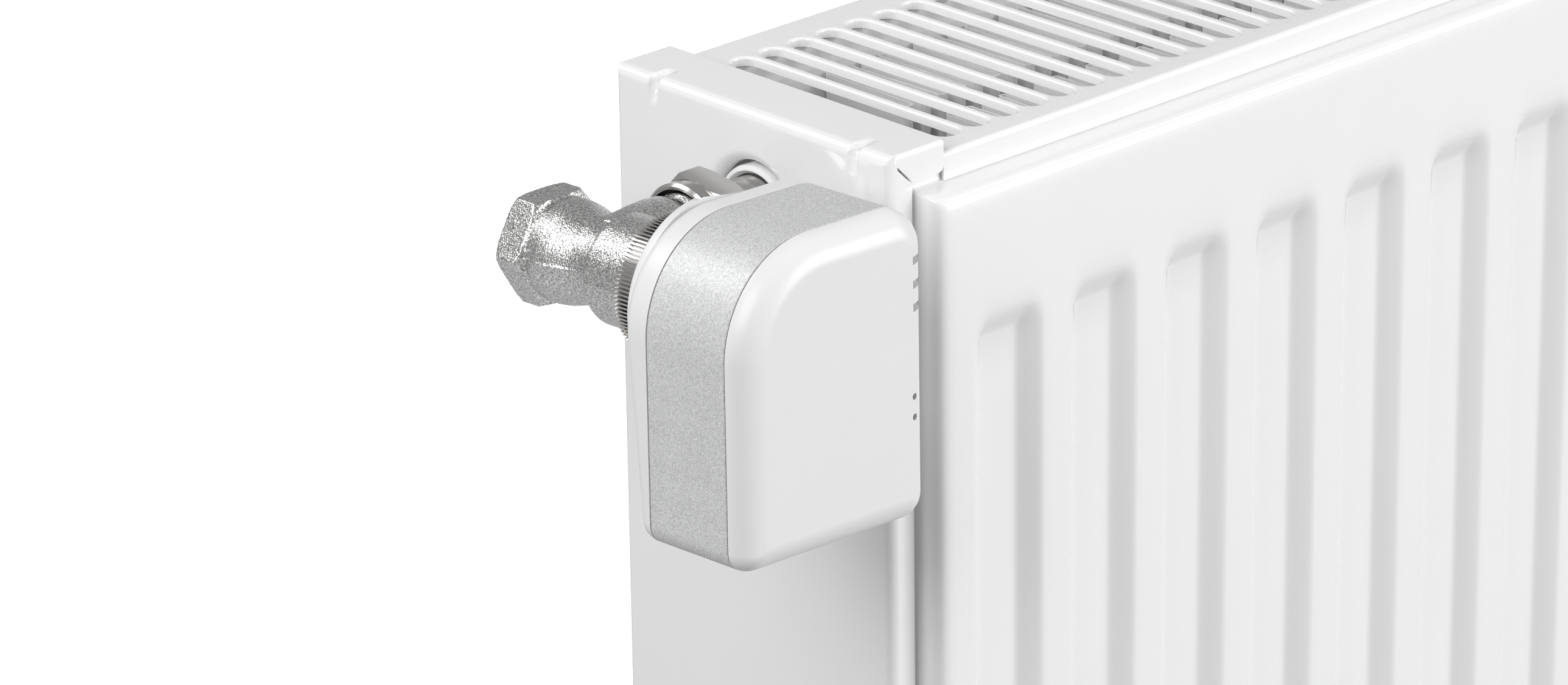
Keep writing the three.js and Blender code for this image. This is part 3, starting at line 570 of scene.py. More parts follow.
FINISHES: dict[str, Finish] = {
    "enamel": Finish("baked_enamel", (0.9, 0.9, 0.905), 0.09, coat=0.5, grain=260, grain_depth=0.008,
                     tone=0.006, roughness_spread=0.02),
    "cast_nickel": Finish("cast_nickel", (0.93, 0.925, 0.915), 0.2, metallic=1.0, grain=2300,
                          grain_depth=0.17,
                          tone=0.62, tone_scale=2100, roughness_spread=0.08),
    "nickel": Finish("satin_nickel", (0.6, 0.59, 0.575), 0.22, metallic=1.0, grain=1400, grain_depth=0.004,
                     tone=0.05,
                     tone_scale=90, roughness_spread=0.04),
    "brass_metal": Finish("turned_brass", (0.72, 0.53, 0.24), 0.3, metallic=1.0, grain=1200,
                          grain_depth=0.01, tone=0.1),
    "steel": Finish("bright_steel", (0.56, 0.57, 0.58), 0.3, metallic=1.0, grain=1200, grain_depth=0.01,
                    tone=0.1),
    "white_plastic": Finish("white_plastic", (0.8, 0.8, 0.805), 0.34, grain=1400, grain_depth=0.006,
                            tone=0.006),
    "silver_plastic": Finish("silver_lacquer", (0.66, 0.663, 0.668), 0.48, metallic=0.25, coat=0.05,
                             grain=3600,
                             grain_depth=0.012, tone=0.03, flake=0.2),
    "rubber": Finish("black_rubber", (0.03, 0.03, 0.032), 0.75, grain=900, grain_depth=0.02, tone=0.2),
    "dark_plastic": Finish("dark_plastic", (0.06, 0.063, 0.07), 0.5, grain=1100, grain_depth=0.01, tone=0.1),
    "acetal": Finish("natural_acetal", (0.82, 0.79, 0.72), 0.42, grain=900, grain_depth=0.006, tone=0.03),
    "board": Finish("circuit_board", (0.03, 0.14, 0.07), 0.4, coat=0.3, grain=800, grain_depth=0.01,
                    tone=0.25, tone_scale=300),
    "cell_wrap": Finish("cell_sleeve", (0.05, 0.06, 0.09), 0.28, coat=0.4, grain=600, grain_depth=0.004,
                        tone=0.15),
}


# ------------------------------------------------------------------ radiator

@dataclass
class PressedPanel:
    """A panel sheet with deep vertical pressings and a rolled edge."""

    length: float = 600.0
    height: float = 600.0
    depth: float = 105.0
    sheet: float = 1.2
    pitch: float = 33.333
    grooves: int = 17
    groove_top: float = 23.5
    groove_floor: float = 12.4
    groove_depth: float = 4.5
    ramp_start: float = 45.5
    ramp: float = 7.4
    side_inset: float = 9.5
    top_inset: float = 11.2
    edge_steps: tuple[tuple[float, float], ...] = ((-6.0, 9.2), (-0.8, 9.2), (-0.1, 8.7), (0.15, 3.6),
                                                   (1.0, 0.75), (3.6, 0.0), (6.6, 0.0))

    def _lines(self, start: float, end: float, inset: float) -> list[float]:
        """The edge's bend lines at both ends of a span.

        Args:
            start: Where the span starts.
            end: Where it ends.
            inset: How far in the rolled edge stands.

        Returns:
            The positions in order.
        """
        near = [start + inset + offset for offset, _ in self.edge_steps]
        return near + [end - (line - start) for line in reversed(near)]

    def build(self, name: str) -> bpy.types.Object:
        """Presses the sheet, with its lands on the plane y = 0.

        Args:
            name: The piece's name.

        Returns:
            The sheet.
        """
        across = self._lines(0.0, self.length, self.side_inset)
        down = self._lines(-self.height, 0.0, self.top_inset)
        Bench.clear()
        bpy.ops.mesh.primitive_plane_add(size=1)
        piece = Bench.begin(name)
        piece.scale = (across[-1] - across[0], down[-1] - down[0], 1)
        piece.rotation_euler = (math.radians(90), 0, 0)
        piece.location = ((across[-1] + across[0]) / 2, 0, (down[-1] + down[0]) / 2)
        bpy.ops.object.transform_apply(location=True, rotation=True, scale=True)
        centres = [self.length / 2 + (i - (self.grooves - 1) / 2) * self.pitch for i in range(self.grooves)]
        half = self.groove_top / 2
        wall = half - self.groove_floor / 2
        bends = (-1.3, 0.0, 0.25, 0.75, 1.0)
        columns = across[1:-1]
        for centre in centres:
            for share in bends:
                step = share if share < 0 else share * wall
                columns += [centre - half + step, centre + half - step]
            columns += [centre - half + wall + 1.3, centre + half - wall - 1.3]
        rows = down[1:-1]
        for share in bends + (1.3,):
            step = self.ramp_start + share * self.ramp
            rows += [-step, step - self.height]
        Bench.edit(piece)
        for column in sorted(columns):
            bpy.ops.mesh.select_all(action="SELECT")
            bpy.ops.mesh.bisect(plane_co=(column, 0, 0), plane_no=(1, 0, 0))
        for row in sorted(rows):
            bpy.ops.mesh.select_all(action="SELECT")
            bpy.ops.mesh.bisect(plane_co=(0, 0, row), plane_no=(0, 0, 1))
        bpy.ops.mesh.select_mode(type="VERT")
        self._roll_edge(piece, across, down)

        def depth(co: Vector) -> float:
            """The share of the groove's depth at a place, with rounded upper and lower corners."""
            beside = min(abs(co.x - centre) for centre in centres)
            along = (half - beside) / wall
            under = (min(-co.z, co.z + self.height) - self.ramp_start) / self.ramp
            missing = math.hypot(1 - min(max(along, 0.0), 1.0), 1 - min(max(under, 0.0), 1.0))
            return round(max(0.0, 1.0 - missing), 2)

        mesh = bmesh.from_edit_mesh(piece.data)
        levels = {depth(vert.co) for vert in mesh.verts} - {0.0}
        for level in sorted(levels):
            Bench.pick(piece, "verts", lambda co: depth(co) == level)
            bpy.ops.transform.translate(value=(0, self.groove_depth * level, 0))
        Bench.clear()
        Bench.modify(piece, "SUBSURF", levels=1, render_levels=1)
        Bench.modify(piece, "SOLIDIFY", thickness=self.sheet, offset=-1.0)
        Bench.smooth(piece, 60, weighted=False)
        return piece

    def _roll_edge(self, piece: bpy.types.Object, across: Sequence[float], down: Sequence[float]) -> None:
        """Sets each ring of the edge back from the lands.

        Args:
            piece: The flat sheet in edit mode.
            across: The bend lines along the length.
            down: The bend lines along the height.
        """
        def ring(co: Vector) -> int:
            """How many bend lines lie outside a point."""
            steps = len(self.edge_steps)
            lines = ((co.x, across), (co.z, down))
            return min(min(sum(place > line + 0.01 for line in at[:steps]),
                           sum(place < line - 0.01 for line in at[steps:]))
                       for place, at in lines)

        for level, (_, depth) in enumerate(self.edge_steps):
            if depth > 0 and Bench.pick(piece, "verts", lambda co: ring(co) == level):
                bpy.ops.transform.translate(value=(0, depth, 0))


@dataclass
class TopGrille:
    """The slotted grille: one slot's cell, copied along the radiator, between two blank ends."""

    length: float = 600.0
    front: float = 8.0
    rear: float = 103.7
    drop: float = 3.5
    sheet: float = 0.8
    pitch: float = 10.0
    slots: int = 55
    half_opening: float = 3.85
    roll: float = 0.75
    wall: float = 2.4
    slot_front: float = 15.2
    slot_rear: float = 93.0
    fascia: float = 7.1
    fold: float = 1.3
    end_gap: float = 1.6
    under_flap: float = 18.9

    def _cell(self) -> bpy.types.Object:
        """One slot with its rolled-down edge, in a plate as wide as the pitch.

        Returns:
            The cell as a sheet without thickness, about x = 0.
        """
        half = self.half_opening + self.roll
        y0, y1 = self.slot_front - self.roll, self.slot_rear + self.roll
        Bench.clear()
        bpy.ops.mesh.primitive_plane_add(size=1, location=(0, (y0 + y1) / 2, 0))
        slot = Bench.begin("slot")
        slot.scale = (2 * half, y1 - y0, 1)
        bpy.ops.object.transform_apply(location=True, rotation=True, scale=True)
        Bench.edit(slot, "VERT")
        bpy.ops.mesh.select_all(action="SELECT")
        bpy.ops.mesh.bevel(offset=half - 0.15, segments=6, affect="VERTICES")
        bpy.ops.mesh.select_mode(type="FACE")
        bpy.ops.mesh.select_all(action="SELECT")
        for turn in (30, 60, 90):
            a, b = math.radians(turn - 30), math.radians(turn)
            bpy.ops.mesh.inset(thickness=self.roll * (math.sin(b) - math.sin(a)),
                               depth=self.roll * (math.cos(b) - math.cos(a)))
        bpy.ops.mesh.extrude_region_move(TRANSFORM_OT_translate={"value": (0, 0, -self.wall + self.roll)})
        bpy.ops.mesh.delete(type="ONLY_FACE")
        Bench.clear()
        x, front, rear = self.pitch / 2, self.front + self.fold, self.rear - self.fold
        frame_loop = Bench.loop("cell_edge", [(-x, front, 0), (x, front, 0), (x, rear, 0), (-x, rear, 0)])
        cell = Bench.join([slot, frame_loop])
        Bench.edit(cell, "EDGE")
        mesh = bmesh.from_edit_mesh(cell.data)
        for edge in mesh.edges:
            edge.select_set(len(edge.link_faces) < 2
                            and all(abs(vert.co.z) < 1e-4 for vert in edge.verts))
        bmesh.update_edit_mesh(cell.data)
        bpy.ops.mesh.fill(use_beauty=True)
        Bench.clear()
        return cell

    def build(self, name: str) -> bpy.types.Object:
        """Lays the cells in a row and folds the fascias down.

        Args:
            name: The piece's name.

        Returns:
            The grille.
        """
        cell = self._cell()
        first = self.length / 2 - (self.slots - 1) / 2 * self.pitch
        cells = [cell]
        for _ in range(self.slots - 1):
            copy = cell.copy()
            copy.data = cell.data.copy()
            bpy.context.collection.objects.link(copy)
            cells.append(copy)
        for i, piece in enumerate(cells):
            piece.data.transform(Matrix.Translation((first + i * self.pitch, 0, 0)))
        front, rear = self.front + self.fold, self.rear - self.fold
        ends = [(self.end_gap, first - self.pitch / 2),
                (self.length - first + self.pitch / 2, self.length - self.end_gap)]
        for i, (x0, x1) in enumerate(ends):
            cut = self.under_flap if i == 0 else self.length - self.under_flap
            for a, b in ((x0, cut), (cut, x1)):
                cells.append(Bench.loop("end_plate",
                                        [(a, front, 0), (b, front, 0), (b, rear, 0), (a, rear, 0)],
                                        filled=True))
        grille = Bench.join(cells, weld=0.01)
        grille.name = name
        inside = (self.under_flap - 0.01, self.length - self.under_flap + 0.01)
        for plane, way in ((front, -1.0), (rear, 1.0)):
            Bench.edit(grille, "EDGE")
            Bench.pick(grille, "edges",
                       lambda co: abs(co.y - plane) < 0.01 and abs(co.z) < 1e-3
                       and inside[0] < co.x < inside[1])
            for turn in range(15, 91, 15):
                a, b = math.radians(turn - 15), math.radians(turn)
                step = (0, way * self.fold * (math.sin(b) - math.sin(a)),
                        self.fold * (math.cos(b) - math.cos(a)))
                bpy.ops.mesh.extrude_region_move(TRANSFORM_OT_translate={"value": step})
            bpy.ops.mesh.extrude_region_move(TRANSFORM_OT_translate={"value": (0, 0,
                                                                               self.fold - self.fascia)})
        Bench.clear()
        Bench.edit(grille)
        bpy.ops.mesh.select_all(action="SELECT")
        bpy.ops.mesh.normals_make_consistent(inside=False)
        Bench.clear()
        if sum(face.normal.z * face.area for face in grille.data.polygons) < 0:
            grille.data.flip_normals()
        Bench.modify(grille, "SOLIDIFY", thickness=self.sheet, offset=-1.0)
        grille.data.transform(Matrix.Translation((0, 0, -self.drop)))
        return Bench.smooth(grille, 40)


@dataclass
class EndCover:
    """A folded end cover with mitred corner flaps, pressed darts and turned-in port holes."""

    height: float = 600.0
    front: float = 7.6
    rear: float = 105.0
    flange: float = 18.5
    side: float = 7.8
    flap: float = 8.0
    sheet: float = 0.9
    fold: float = 2.8
    flap_fold: float = 1.1
    slit: float = 0.55
    hole: float = 15.2
    lip: float = 13.4
    lip_depth: float = 3.4
    port_y: float = 55.6
    port_drop: float = 27.1
    darts: tuple[float, ...] = (19.8, 90.6)
    dart_reach: float = 7.0

    def build(self, name: str) -> bpy.types.Object:
        """Folds the cover, open towards +X.

        Args:
            name: The piece's name.

        Returns:
            The cover.
        """
        cover = Bench.block(name, (0, self.front, -self.height), (self.flange, self.rear, 0))
        Bench.edit(cover)
        Bench.pick(cover, "faces", lambda co: co.x > self.flange - 0.01)
        bpy.ops.mesh.delete(type="FACE")
        cuts = [((self.side, 0, 0), (1, 0, 0)), ((0, 0, -self.flap), (0, 0, 1)),
                ((0, 0, self.flap - self.height), (0, 0, 1))]
        for place, normal in cuts:
            bpy.ops.mesh.select_all(action="SELECT")
            bpy.ops.mesh.bisect(plane_co=place, plane_no=normal)
        Bench.pick(cover, "faces",
                   lambda co: co.x > self.side and self.flap - self.height < co.z < -self.flap)
        bpy.ops.mesh.delete(type="FACE")
        bpy.ops.mesh.select_mode(type="EDGE")
        self._round_edges(cover)
        self._darts(cover)
        Bench.clear()
        Bench.modify(cover, "SOLIDIFY", thickness=self.sheet, offset=-1.0)
        self._corner_slits(cover)
        self._ports(cover)
        return Bench.smooth(cover, 35)

    def _round_edges(self, cover: bpy.types.Object) -> None:
        """Rolls the folds: wide round the end face, tight along the flaps, and the flaps' free corners.

        Args:
            cover: The cover in edit mode.
        """
        level = (0.0, -self.height)
        end = lambda co: co.x < 0.01 and (min(abs(co.y - self.front), abs(co.y - self.rear)) < 0.01
                                          or min(abs(co.z - z) for z in level) < 0.01)
        Bench.pick(cover, "edges", end)
        bpy.ops.mesh.bevel(offset=self.fold, segments=6, affect="EDGES")
        on_flap = lambda co: (co.x > self.fold + 0.1 and min(abs(co.y - self.front),
                                                             abs(co.y - self.rear)) < 0.01
                              and min(abs(co.z - z) for z in level) < 0.01)
        Bench.pick(cover, "edges", on_flap)
        bpy.ops.mesh.bevel(offset=self.flap_fold, segments=4, affect="EDGES")
        bpy.ops.mesh.select_mode(type="VERT")
        lower = (-self.flap, self.flap - self.height)
        Bench.pick(cover, "verts",
                   lambda co: co.x > self.flange - 0.01 and min(abs(co.z - z) for z in lower) < 0.01)
        bpy.ops.mesh.bevel(offset=1.8, segments=4, affect="VERTICES")

    def _corner_slits(self, cover: bpy.types.Object) -> None:
        """Opens the mitred slit between each flap and the folded side.

        Args:
            cover: The cover.
        """
        start, end = 2.9, self.side + 0.6
        for level, way in ((0.0, -1.0), (-self.height, 1.0)):
            for y in (self.front, self.rear):
                corners = [(start, start), (end, end), (end, end + 1.4 * self.slit),
                           (start, start + 1.4 * self.slit)]
                tool = Bench.prism("slit", [(x, level + way * z) for x, z in corners], Axis.Y, y - 1.5,
                                   y + 1.5)
                Bench.act(cover, tool, Join.CUT)

    def _ports(self, cover: bpy.types.Object) -> None:
        """Turns the rim of both port holes inwards.

        Args:
            cover: The cover.
        """
        for z in (-self.port_drop, self.port_drop - self.height):
            place = Matrix.Translation((0, self.port_y, z))
            ring = Bench.turned("rim",
                                [(self.lip, 0.3), (self.hole + 3.2, 0.3), (self.hole + 0.8, 2.2),
                                 (self.lip + 1.0, self.lip_depth),
                                        (self.lip, self.lip_depth)], Axis.X)
            ring.data.transform(place)
            Bench.act(cover, ring, Join.ADD)
            curve = []
            for turn in range(0, 91, 15):
                a = math.radians(turn)
                curve.append((self.lip + (self.hole - self.lip + 1.3) * (1 - math.sin(a)),
                              self.lip_depth * 0.85 * (1 - math.cos(a))))
            trumpet = [(0, -1.0), (curve[0][0] + 0.4, -1.0)] + curve + [(self.lip, 6.0), (0, 6.0)]
            tool = Bench.turned("trumpet", trumpet, Axis.X)
            tool.data.transform(place)
            Bench.act(cover, tool, Join.CUT)

    def _darts(self, cover: bpy.types.Object) -> None:
        """Presses the stiffening darts across the top fold, towards the chord of the fold.

        Args:
            cover: The cover in edit mode, still without thickness.
        """
        reach = self.dart_reach
        profile = ((0.0, 0.42), (0.7, 0.34), (1.3, 0.14), (1.8, 0.0), (2.4, -0.04), (3.2, 0.0))
        for step in (0.35, 0.6, 0.85, 1.0):
            for place, normal in (((0, 0, -reach * step), (0, 0, 1)), ((reach * step, 0, 0), (1, 0, 0))):
                bpy.ops.mesh.select_all(action="SELECT")
                bpy.ops.mesh.bisect(plane_co=place, plane_no=normal)
        for y in self.darts:
            for offset in sorted({side * away for away, _ in profile for side in (-1, 1)}):
                bpy.ops.mesh.select_all(action="SELECT")
                bpy.ops.mesh.bisect(plane_co=(0, y + offset, 0), plane_no=(0, 1, 0))
            mesh = bmesh.from_edit_mesh(cover.data)
            across = {round(vert.co.x - vert.co.z, 3) for vert in mesh.verts if vert.co.x - vert.co.z < reach}
            for away, share in profile:
                for place in sorted(across):
                    near = lambda co: (abs(abs(co.y - y) - away) < 0.01 and abs(co.x - co.z - place) < 0.002
                                       and min(co.x, -co.z) < self.fold + 0.01)
                    if share and Bench.pick(cover, "verts", near):
                        push = share * (reach - place) / 2
                        bpy.ops.transform.translate(value=(push, 0, -push))


@dataclass
class PortTee:
    """A corner header pipe with its threaded port, seen through the cover's hole."""

    port_y: float = 55.6
    front: float = 14.4
    rear: float = 90.6
    tube: float = 12.5
    bore: float = 10.2
    face: float = 0.5
    header_x: float = 20.0
    header: float = 14.0

    def build(self, name: str) -> bpy.types.Object:
        """Joins the header and the port tube, with a cut thread in the bore.

        Args:
            name: The piece's name.

        Returns:
            The tee, centred on its port.
        """
        front, rear = self.front - self.port_y, self.rear - self.port_y
        pipe = Bench.turned(name, [(0, front), (self.header, front), (self.header, rear), (0, rear)], Axis.Y,
                            48)
        pipe.data.transform(Matrix.Translation((self.header_x, 0, 0)))
        tube = Bench.turned("tube",
                            [(0, self.face), (self.tube - 1.0, self.face),
                             (self.tube - 0.35, self.face + 0.3),
                                     (self.tube, self.face + 1.0), (self.tube, self.header_x),
                                     (0, self.header_x)], Axis.X)
        Bench.act(pipe, tube, Join.ADD)
        hollow = Bench.turned("hollow",
                              [(0, front - 1), (self.bore, front - 1), (self.bore, rear + 1), (0, rear + 1)],
                              Axis.Y, 40)
        hollow.data.transform(Matrix.Translation((self.header_x, 0, 0)))
        Bench.act(pipe, hollow, Join.CUT)
        thread = [(0, self.face - 1), (self.bore + 0.9, self.face - 1), (self.bore + 0.9, self.face)]
        for i in range(7):
            x = self.face + 1.0 + 1.8 * i
            thread += [(self.bore, x), (self.bore + 0.55, x + 0.9)]
        thread += [(self.bore, self.header_x), (0, self.header_x)]
        Bench.act(pipe, Bench.turned("thread", thread, Axis.X), Join.CUT)
        return Bench.smooth(pipe, 30)


@dataclass
class Convector:
    """A pleated sheet that stands behind a panel and carries the rising air."""

    length: float = 600.0
    pitch: float = 6.2
    pleat: float = 2.5
    corner: float = 0.6
    sheet: float = 0.5

    def build(self, name: str, low: Point, high: Point) -> bpy.types.Object:
        """Folds the sheet inside a box and pulls it to its height.

        Args:
            name: The piece's name.
            low: The lowest corner of the convector's box.
            high: Its highest corner.

        Returns:
            The convector.
        """
        near, far = low[1] + self.sheet, high[1]
        count = int((high[0] - low[0]) // self.pitch)
        start = (low[0] + high[0] - count * self.pitch) / 2
        path = []
        for i in range(count):
            x = start + i * self.pitch
            half, c = self.pleat / 2, self.corner
            quarter = self.pitch / 4
            path += [(x + quarter - half, near + c), (x + quarter - half + c, near),
                     (x + quarter + half - c, near), (x + quarter + half, near + c),
                     (x + 3 * quarter - half, far - c), (x + 3 * quarter - half + c, far),
                     (x + 3 * quarter + half - c, far),
                     (x + 3 * quarter + half, far - c)]
        Bench.clear()
        bpy.ops.mesh.primitive_plane_add(size=1)
        piece = Bench.begin(name)
        Bench.edit(piece, "VERT")
        bpy.ops.mesh.select_all(action="SELECT")
        bpy.ops.mesh.merge(type="CENTER")
        points = [Vector((x, y, low[2])) for x, y in path]
        bpy.ops.transform.translate(value=points[0])
        for here, there in zip(points, points[1:]):
            bpy.ops.mesh.extrude_vertices_move(TRANSFORM_OT_translate={"value": there - here})
        bpy.ops.mesh.select_all(action="SELECT")
        bpy.ops.mesh.extrude_region_move(TRANSFORM_OT_translate={"value": (0, 0, high[2] - low[2])})
        Bench.clear()
        Bench.modify(piece, "SOLIDIFY", thickness=self.sheet, offset=1.0)
        return Bench.smooth(Bench.out(piece), 30)


@dataclass
class Radiator:
    """The radiator itself, without its valve."""

    length: float = 600.0
    height: float = 600.0
    port_y: float = 55.6
    port_drop: float = 27.1
    depth: float = 105.0
    panel: PressedPanel = field(default_factory=PressedPanel)
    grille: TopGrille = field(default_factory=TopGrille)
    cover: EndCover = field(default_factory=EndCover)
    tee: PortTee = field(default_factory=PortTee)
    convector: Convector = field(default_factory=Convector)

    def build(self, materials: dict[str, bpy.types.Material]) -> None:
        """Builds and places the radiator's pieces.

        Args:
            materials: The finishes by slot.
        """
        enamel = materials["enamel"]
        place = PLACES.radiator()
        front = self.panel.build("front_pressing")
        turn = Matrix.Translation((self.length, self.depth, 0)) @ Matrix.Rotation(math.pi, 4, "Z")
        rear = self._copy(front, "rear_pressing", turn)
        Fitting("radiator", "enamel", ("front_panel_outer_sheet",)).fit(front, place, enamel)
        Fitting("radiator", "enamel", ("rear_panel_outer_sheet",)).fit(rear, place, enamel)
        Fitting("radiator", "enamel", ("top_grille",)).fit(self.grille.build("grille"), place, enamel)
        cover = self.cover.build("cover_valve_side")
        swap = Matrix.Translation((self.length, 0, 0)) @ Matrix.Scale(-1, 4, (1, 0, 0))
        far = self._copy(cover, "cover_far_side", swap)
        Fitting("radiator", "enamel", ("end_cover_valve_side",)).fit(cover, place, enamel)
        Fitting("radiator", "enamel", ("end_cover_far_side",)).fit(far, place, enamel)
        for node in ("front_convector", "rear_convector"):
            low, high = (place.inverted() @ Vector(corner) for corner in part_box(node))
            fins = self.convector.build(f"{node}_fins", tuple(low), tuple(high))
            Fitting("radiator", "enamel", (node,)).fit(fins, place, enamel)
        tee = self.tee.build("tee")
        for end in ("valve", "far"):
            for level, z in (("top", -self.port_drop), ("bottom", self.port_drop - self.height)):
                move = Matrix.Translation((0, self.port_y, z))
                if end == "far":
                    move = swap @ move
                Fitting("radiator", "enamel",
                        (f"port_tee_{end}_{level}",)).fit(self._copy(tee, f"tee_{end}_{level}", move), place,
                                                          enamel)
        bpy.data.objects.remove(tee, do_unlink=True)

    def _copy(self, piece: bpy.types.Object, name: str, move: Matrix) -> bpy.types.Object:
        """Copies a piece with its own mesh.

        Args:
            piece: What to copy.
            name: The copy's name.
            move: Where the copy goes; a mirror turns its faces back out.

        Returns:
            The copy.
        """
        copy = piece.copy()
        copy.data = piece.data.copy()
        copy.name = name
        bpy.context.collection.objects.link(copy)
        copy.data.transform(move)
        if move.determinant() < 0:
            copy.data.flip_normals()
            Bench.smooth(copy, 35)
        return copy


# ------------------------------------------------------------------ valve

@dataclass
class CornerValve:
    """The cast body, its union nut, tailpiece and the knurled ring that holds the head."""

    hex_flats: float = 26.5
    hex_start: float = 17.5
    hex_end: float = 26.0
    barrel: float = 14.0
    barrel_start: float = -4.4
    barrel_end: float = -19.2
    branch: float = 12.0
    branch_end: float = 32.0
    voxel: float = 0.4
    nut_flats: float = 27.0
    nut_turn: float = 21.0
    nut_inner: float = 27.0
    nut_outer: float = 35.4
    ring_radius: float = 17.6
    ring_start: float = -19.9
    ring_end: float = -31.4
    knurls: int = 104
    knurl_depth: float = 1.4

    def build(self, materials: dict[str, bpy.types.Material]) -> None:
        """Builds and places the valve's pieces.

        Args:
            materials: The finishes by slot.
        """
        place = PLACES.valve()
        Fitting("radiator", "cast_nickel", ("valve_body",)).fit(self._body("body_casting"), place,
                                                                materials["cast_nickel"])
        Fitting("union_nut", "nickel", ("union_nut",)).fit(self._nut("union_nut_body"), place,
                                                           materials["nickel"])
        Fitting("radiator", "nickel", ("radiator_tailpiece",)).fit(self._tail("tail"), place,
                                                                   materials["nickel"])
        Fitting("coupling_ring", "nickel", ("coupling_ring",)).fit(self._ring("knurled_ring"), PLACES.head(),
                                                                   materials["nickel"])

    def _hexagon(self, flats: float, turn: float = 0.0) -> list[tuple[float, float]]:
        """A hexagon's corners.

        Args:
            flats: Size across the flats.
            turn: Where the first corner stands, in degrees.

        Returns:
            The corners in order.
        """
        radius = flats / math.sqrt(3)
        angles = [math.radians(turn + 60 * i) for i in range(6)]
        return [(radius * math.cos(a), radius * math.sin(a)) for a in angles]

    def _body(self, name: str) -> bpy.types.Object:
        """Casts the body: trunk, branch and hexagon, with a parting line and a sand-cast grain.

        Args:
            name: The piece's name.

        Returns:
            The body.
        """
        edge = self.hex_flats / math.sqrt(3)
        trunk = [(0, self.hex_end - 3), (12.3, self.hex_end - 3), (12.4, 19.0), (12.9, 16.2), (13.1, 13.4),
                 (12.7, 10.4), (11.8, 7.0),
                 (10.9, 3.6), (10.6, 0.4), (10.9, -2.4), (11.8, self.barrel_start + 0.6),
                 (13.4, self.barrel_start),
                 (self.barrel, self.barrel_start - 1.2), (self.barrel, self.barrel_end + 1.2),
                 (self.barrel - 0.9, self.barrel_end), (0, self.barrel_end)]
        body = Bench.turned(name, trunk, Axis.Y, 96)
        nut = Bench.prism("hexagon", self._hexagon(self.hex_flats), Axis.Y, self.hex_start, self.hex_end)
        domed = [(0, self.hex_start - 1), (edge - 2.6, self.hex_start - 1),
                 (edge + 0.3, self.hex_start + 1.6), (edge + 0.3, self.hex_end - 1.3),
                 (edge - 1.5, self.hex_end), (0, self.hex_end)]
        Bench.act(nut, Bench.turned("dome", domed, Axis.Y, 96), Join.KEEP_SHARED)
        Bench.act(body, nut, Join.ADD)
        branch = [(0, 0), (11.2, 0), (11.6, 5), (12.1, 10), (12.3, 15), (12.1, 18.5), (11.0, 20.6),
                  (10.4, 21.4), (11.0, 22.4), (11.7, 23.4),
                  (11.7, self.branch_end), (0, self.branch_end)]
        Bench.act(body, Bench.turned("branch", branch, Axis.X, 96), Join.ADD)
        for seam in self._parting_line():
            Bench.act(body, seam, Join.ADD)
        Bench.modify(body, "REMESH", mode="VOXEL", voxel_size=self.voxel)
        self._grain(body, "grain_fine", 0.9, 0.11)
        self._grain(body, "grain_broad", 3.4, 0.12)
        bores = [(0, self.hex_end + 1), (9.9, self.hex_end + 1), (9.4, self.hex_end - 1.2), (9.4, 13),
                 (6.5, 11.5), (6.5, 6), (9, 6), (9, -9),
                 (10.8, -10), (10.8, self.barrel_end - 1), (0, self.barrel_end - 1)]
        Bench.act(body, Bench.turned("bores", bores, Axis.Y, 48), Join.CUT)
        Bench.act(body, Bench.turned("way", [(0, 0), (6.8, 0), (6.8, 34), (0, 34)], Axis.X, 40), Join.CUT)
        return Bench.smooth(body, 50, weighted=False)

    def _parting_line(self) -> list[bpy.types.Object]:
        """The mould's flash: a thin web in the plane of both axes.

        Returns:
            Two thin plates that stand out of the casting.
        """
        side = [(12.7, 18.5), (13.3, 15), (13.2, 11.5), (12.3, 7.4), (11.2, 3.4), (10.9, 0), (11.3, -2.8),
                (13.1, -4.4), (14.25, -6), (14.25, -17.6)]
        outline = [(x, y) for x, y in side] + [(-x, y) for x, y in reversed(side)]
        trunk = Bench.prism("seam_trunk", outline, Axis.Z, 0.15, 0.85)
        arm = [(2, 11.4), (10, 12.35), (18, 12.35), (20.4, 11.4), (20.4, -11.4), (18, -12.35), (10, -12.35),
               (2, -11.4)]
        return [trunk, Bench.prism("seam_arm", arm, Axis.Z, 0.15, 0.85)]

    def _grain(self, body: bpy.types.Object, name: str, size: float, depth: float) -> None:
        """Pushes the cast surface in and out.

        Args:
            body: The casting.
            name: The pattern's name.
            size: The grain's size.
            depth: How far it pushes.
        """
        pattern = bpy.data.textures.new(name, "CLOUDS")
        pattern.noise_scale = size
        pattern.noise_depth = 2
        Bench.modify(body, "DISPLACE", texture=pattern, strength=depth, mid_level=0.5, texture_coords="LOCAL")

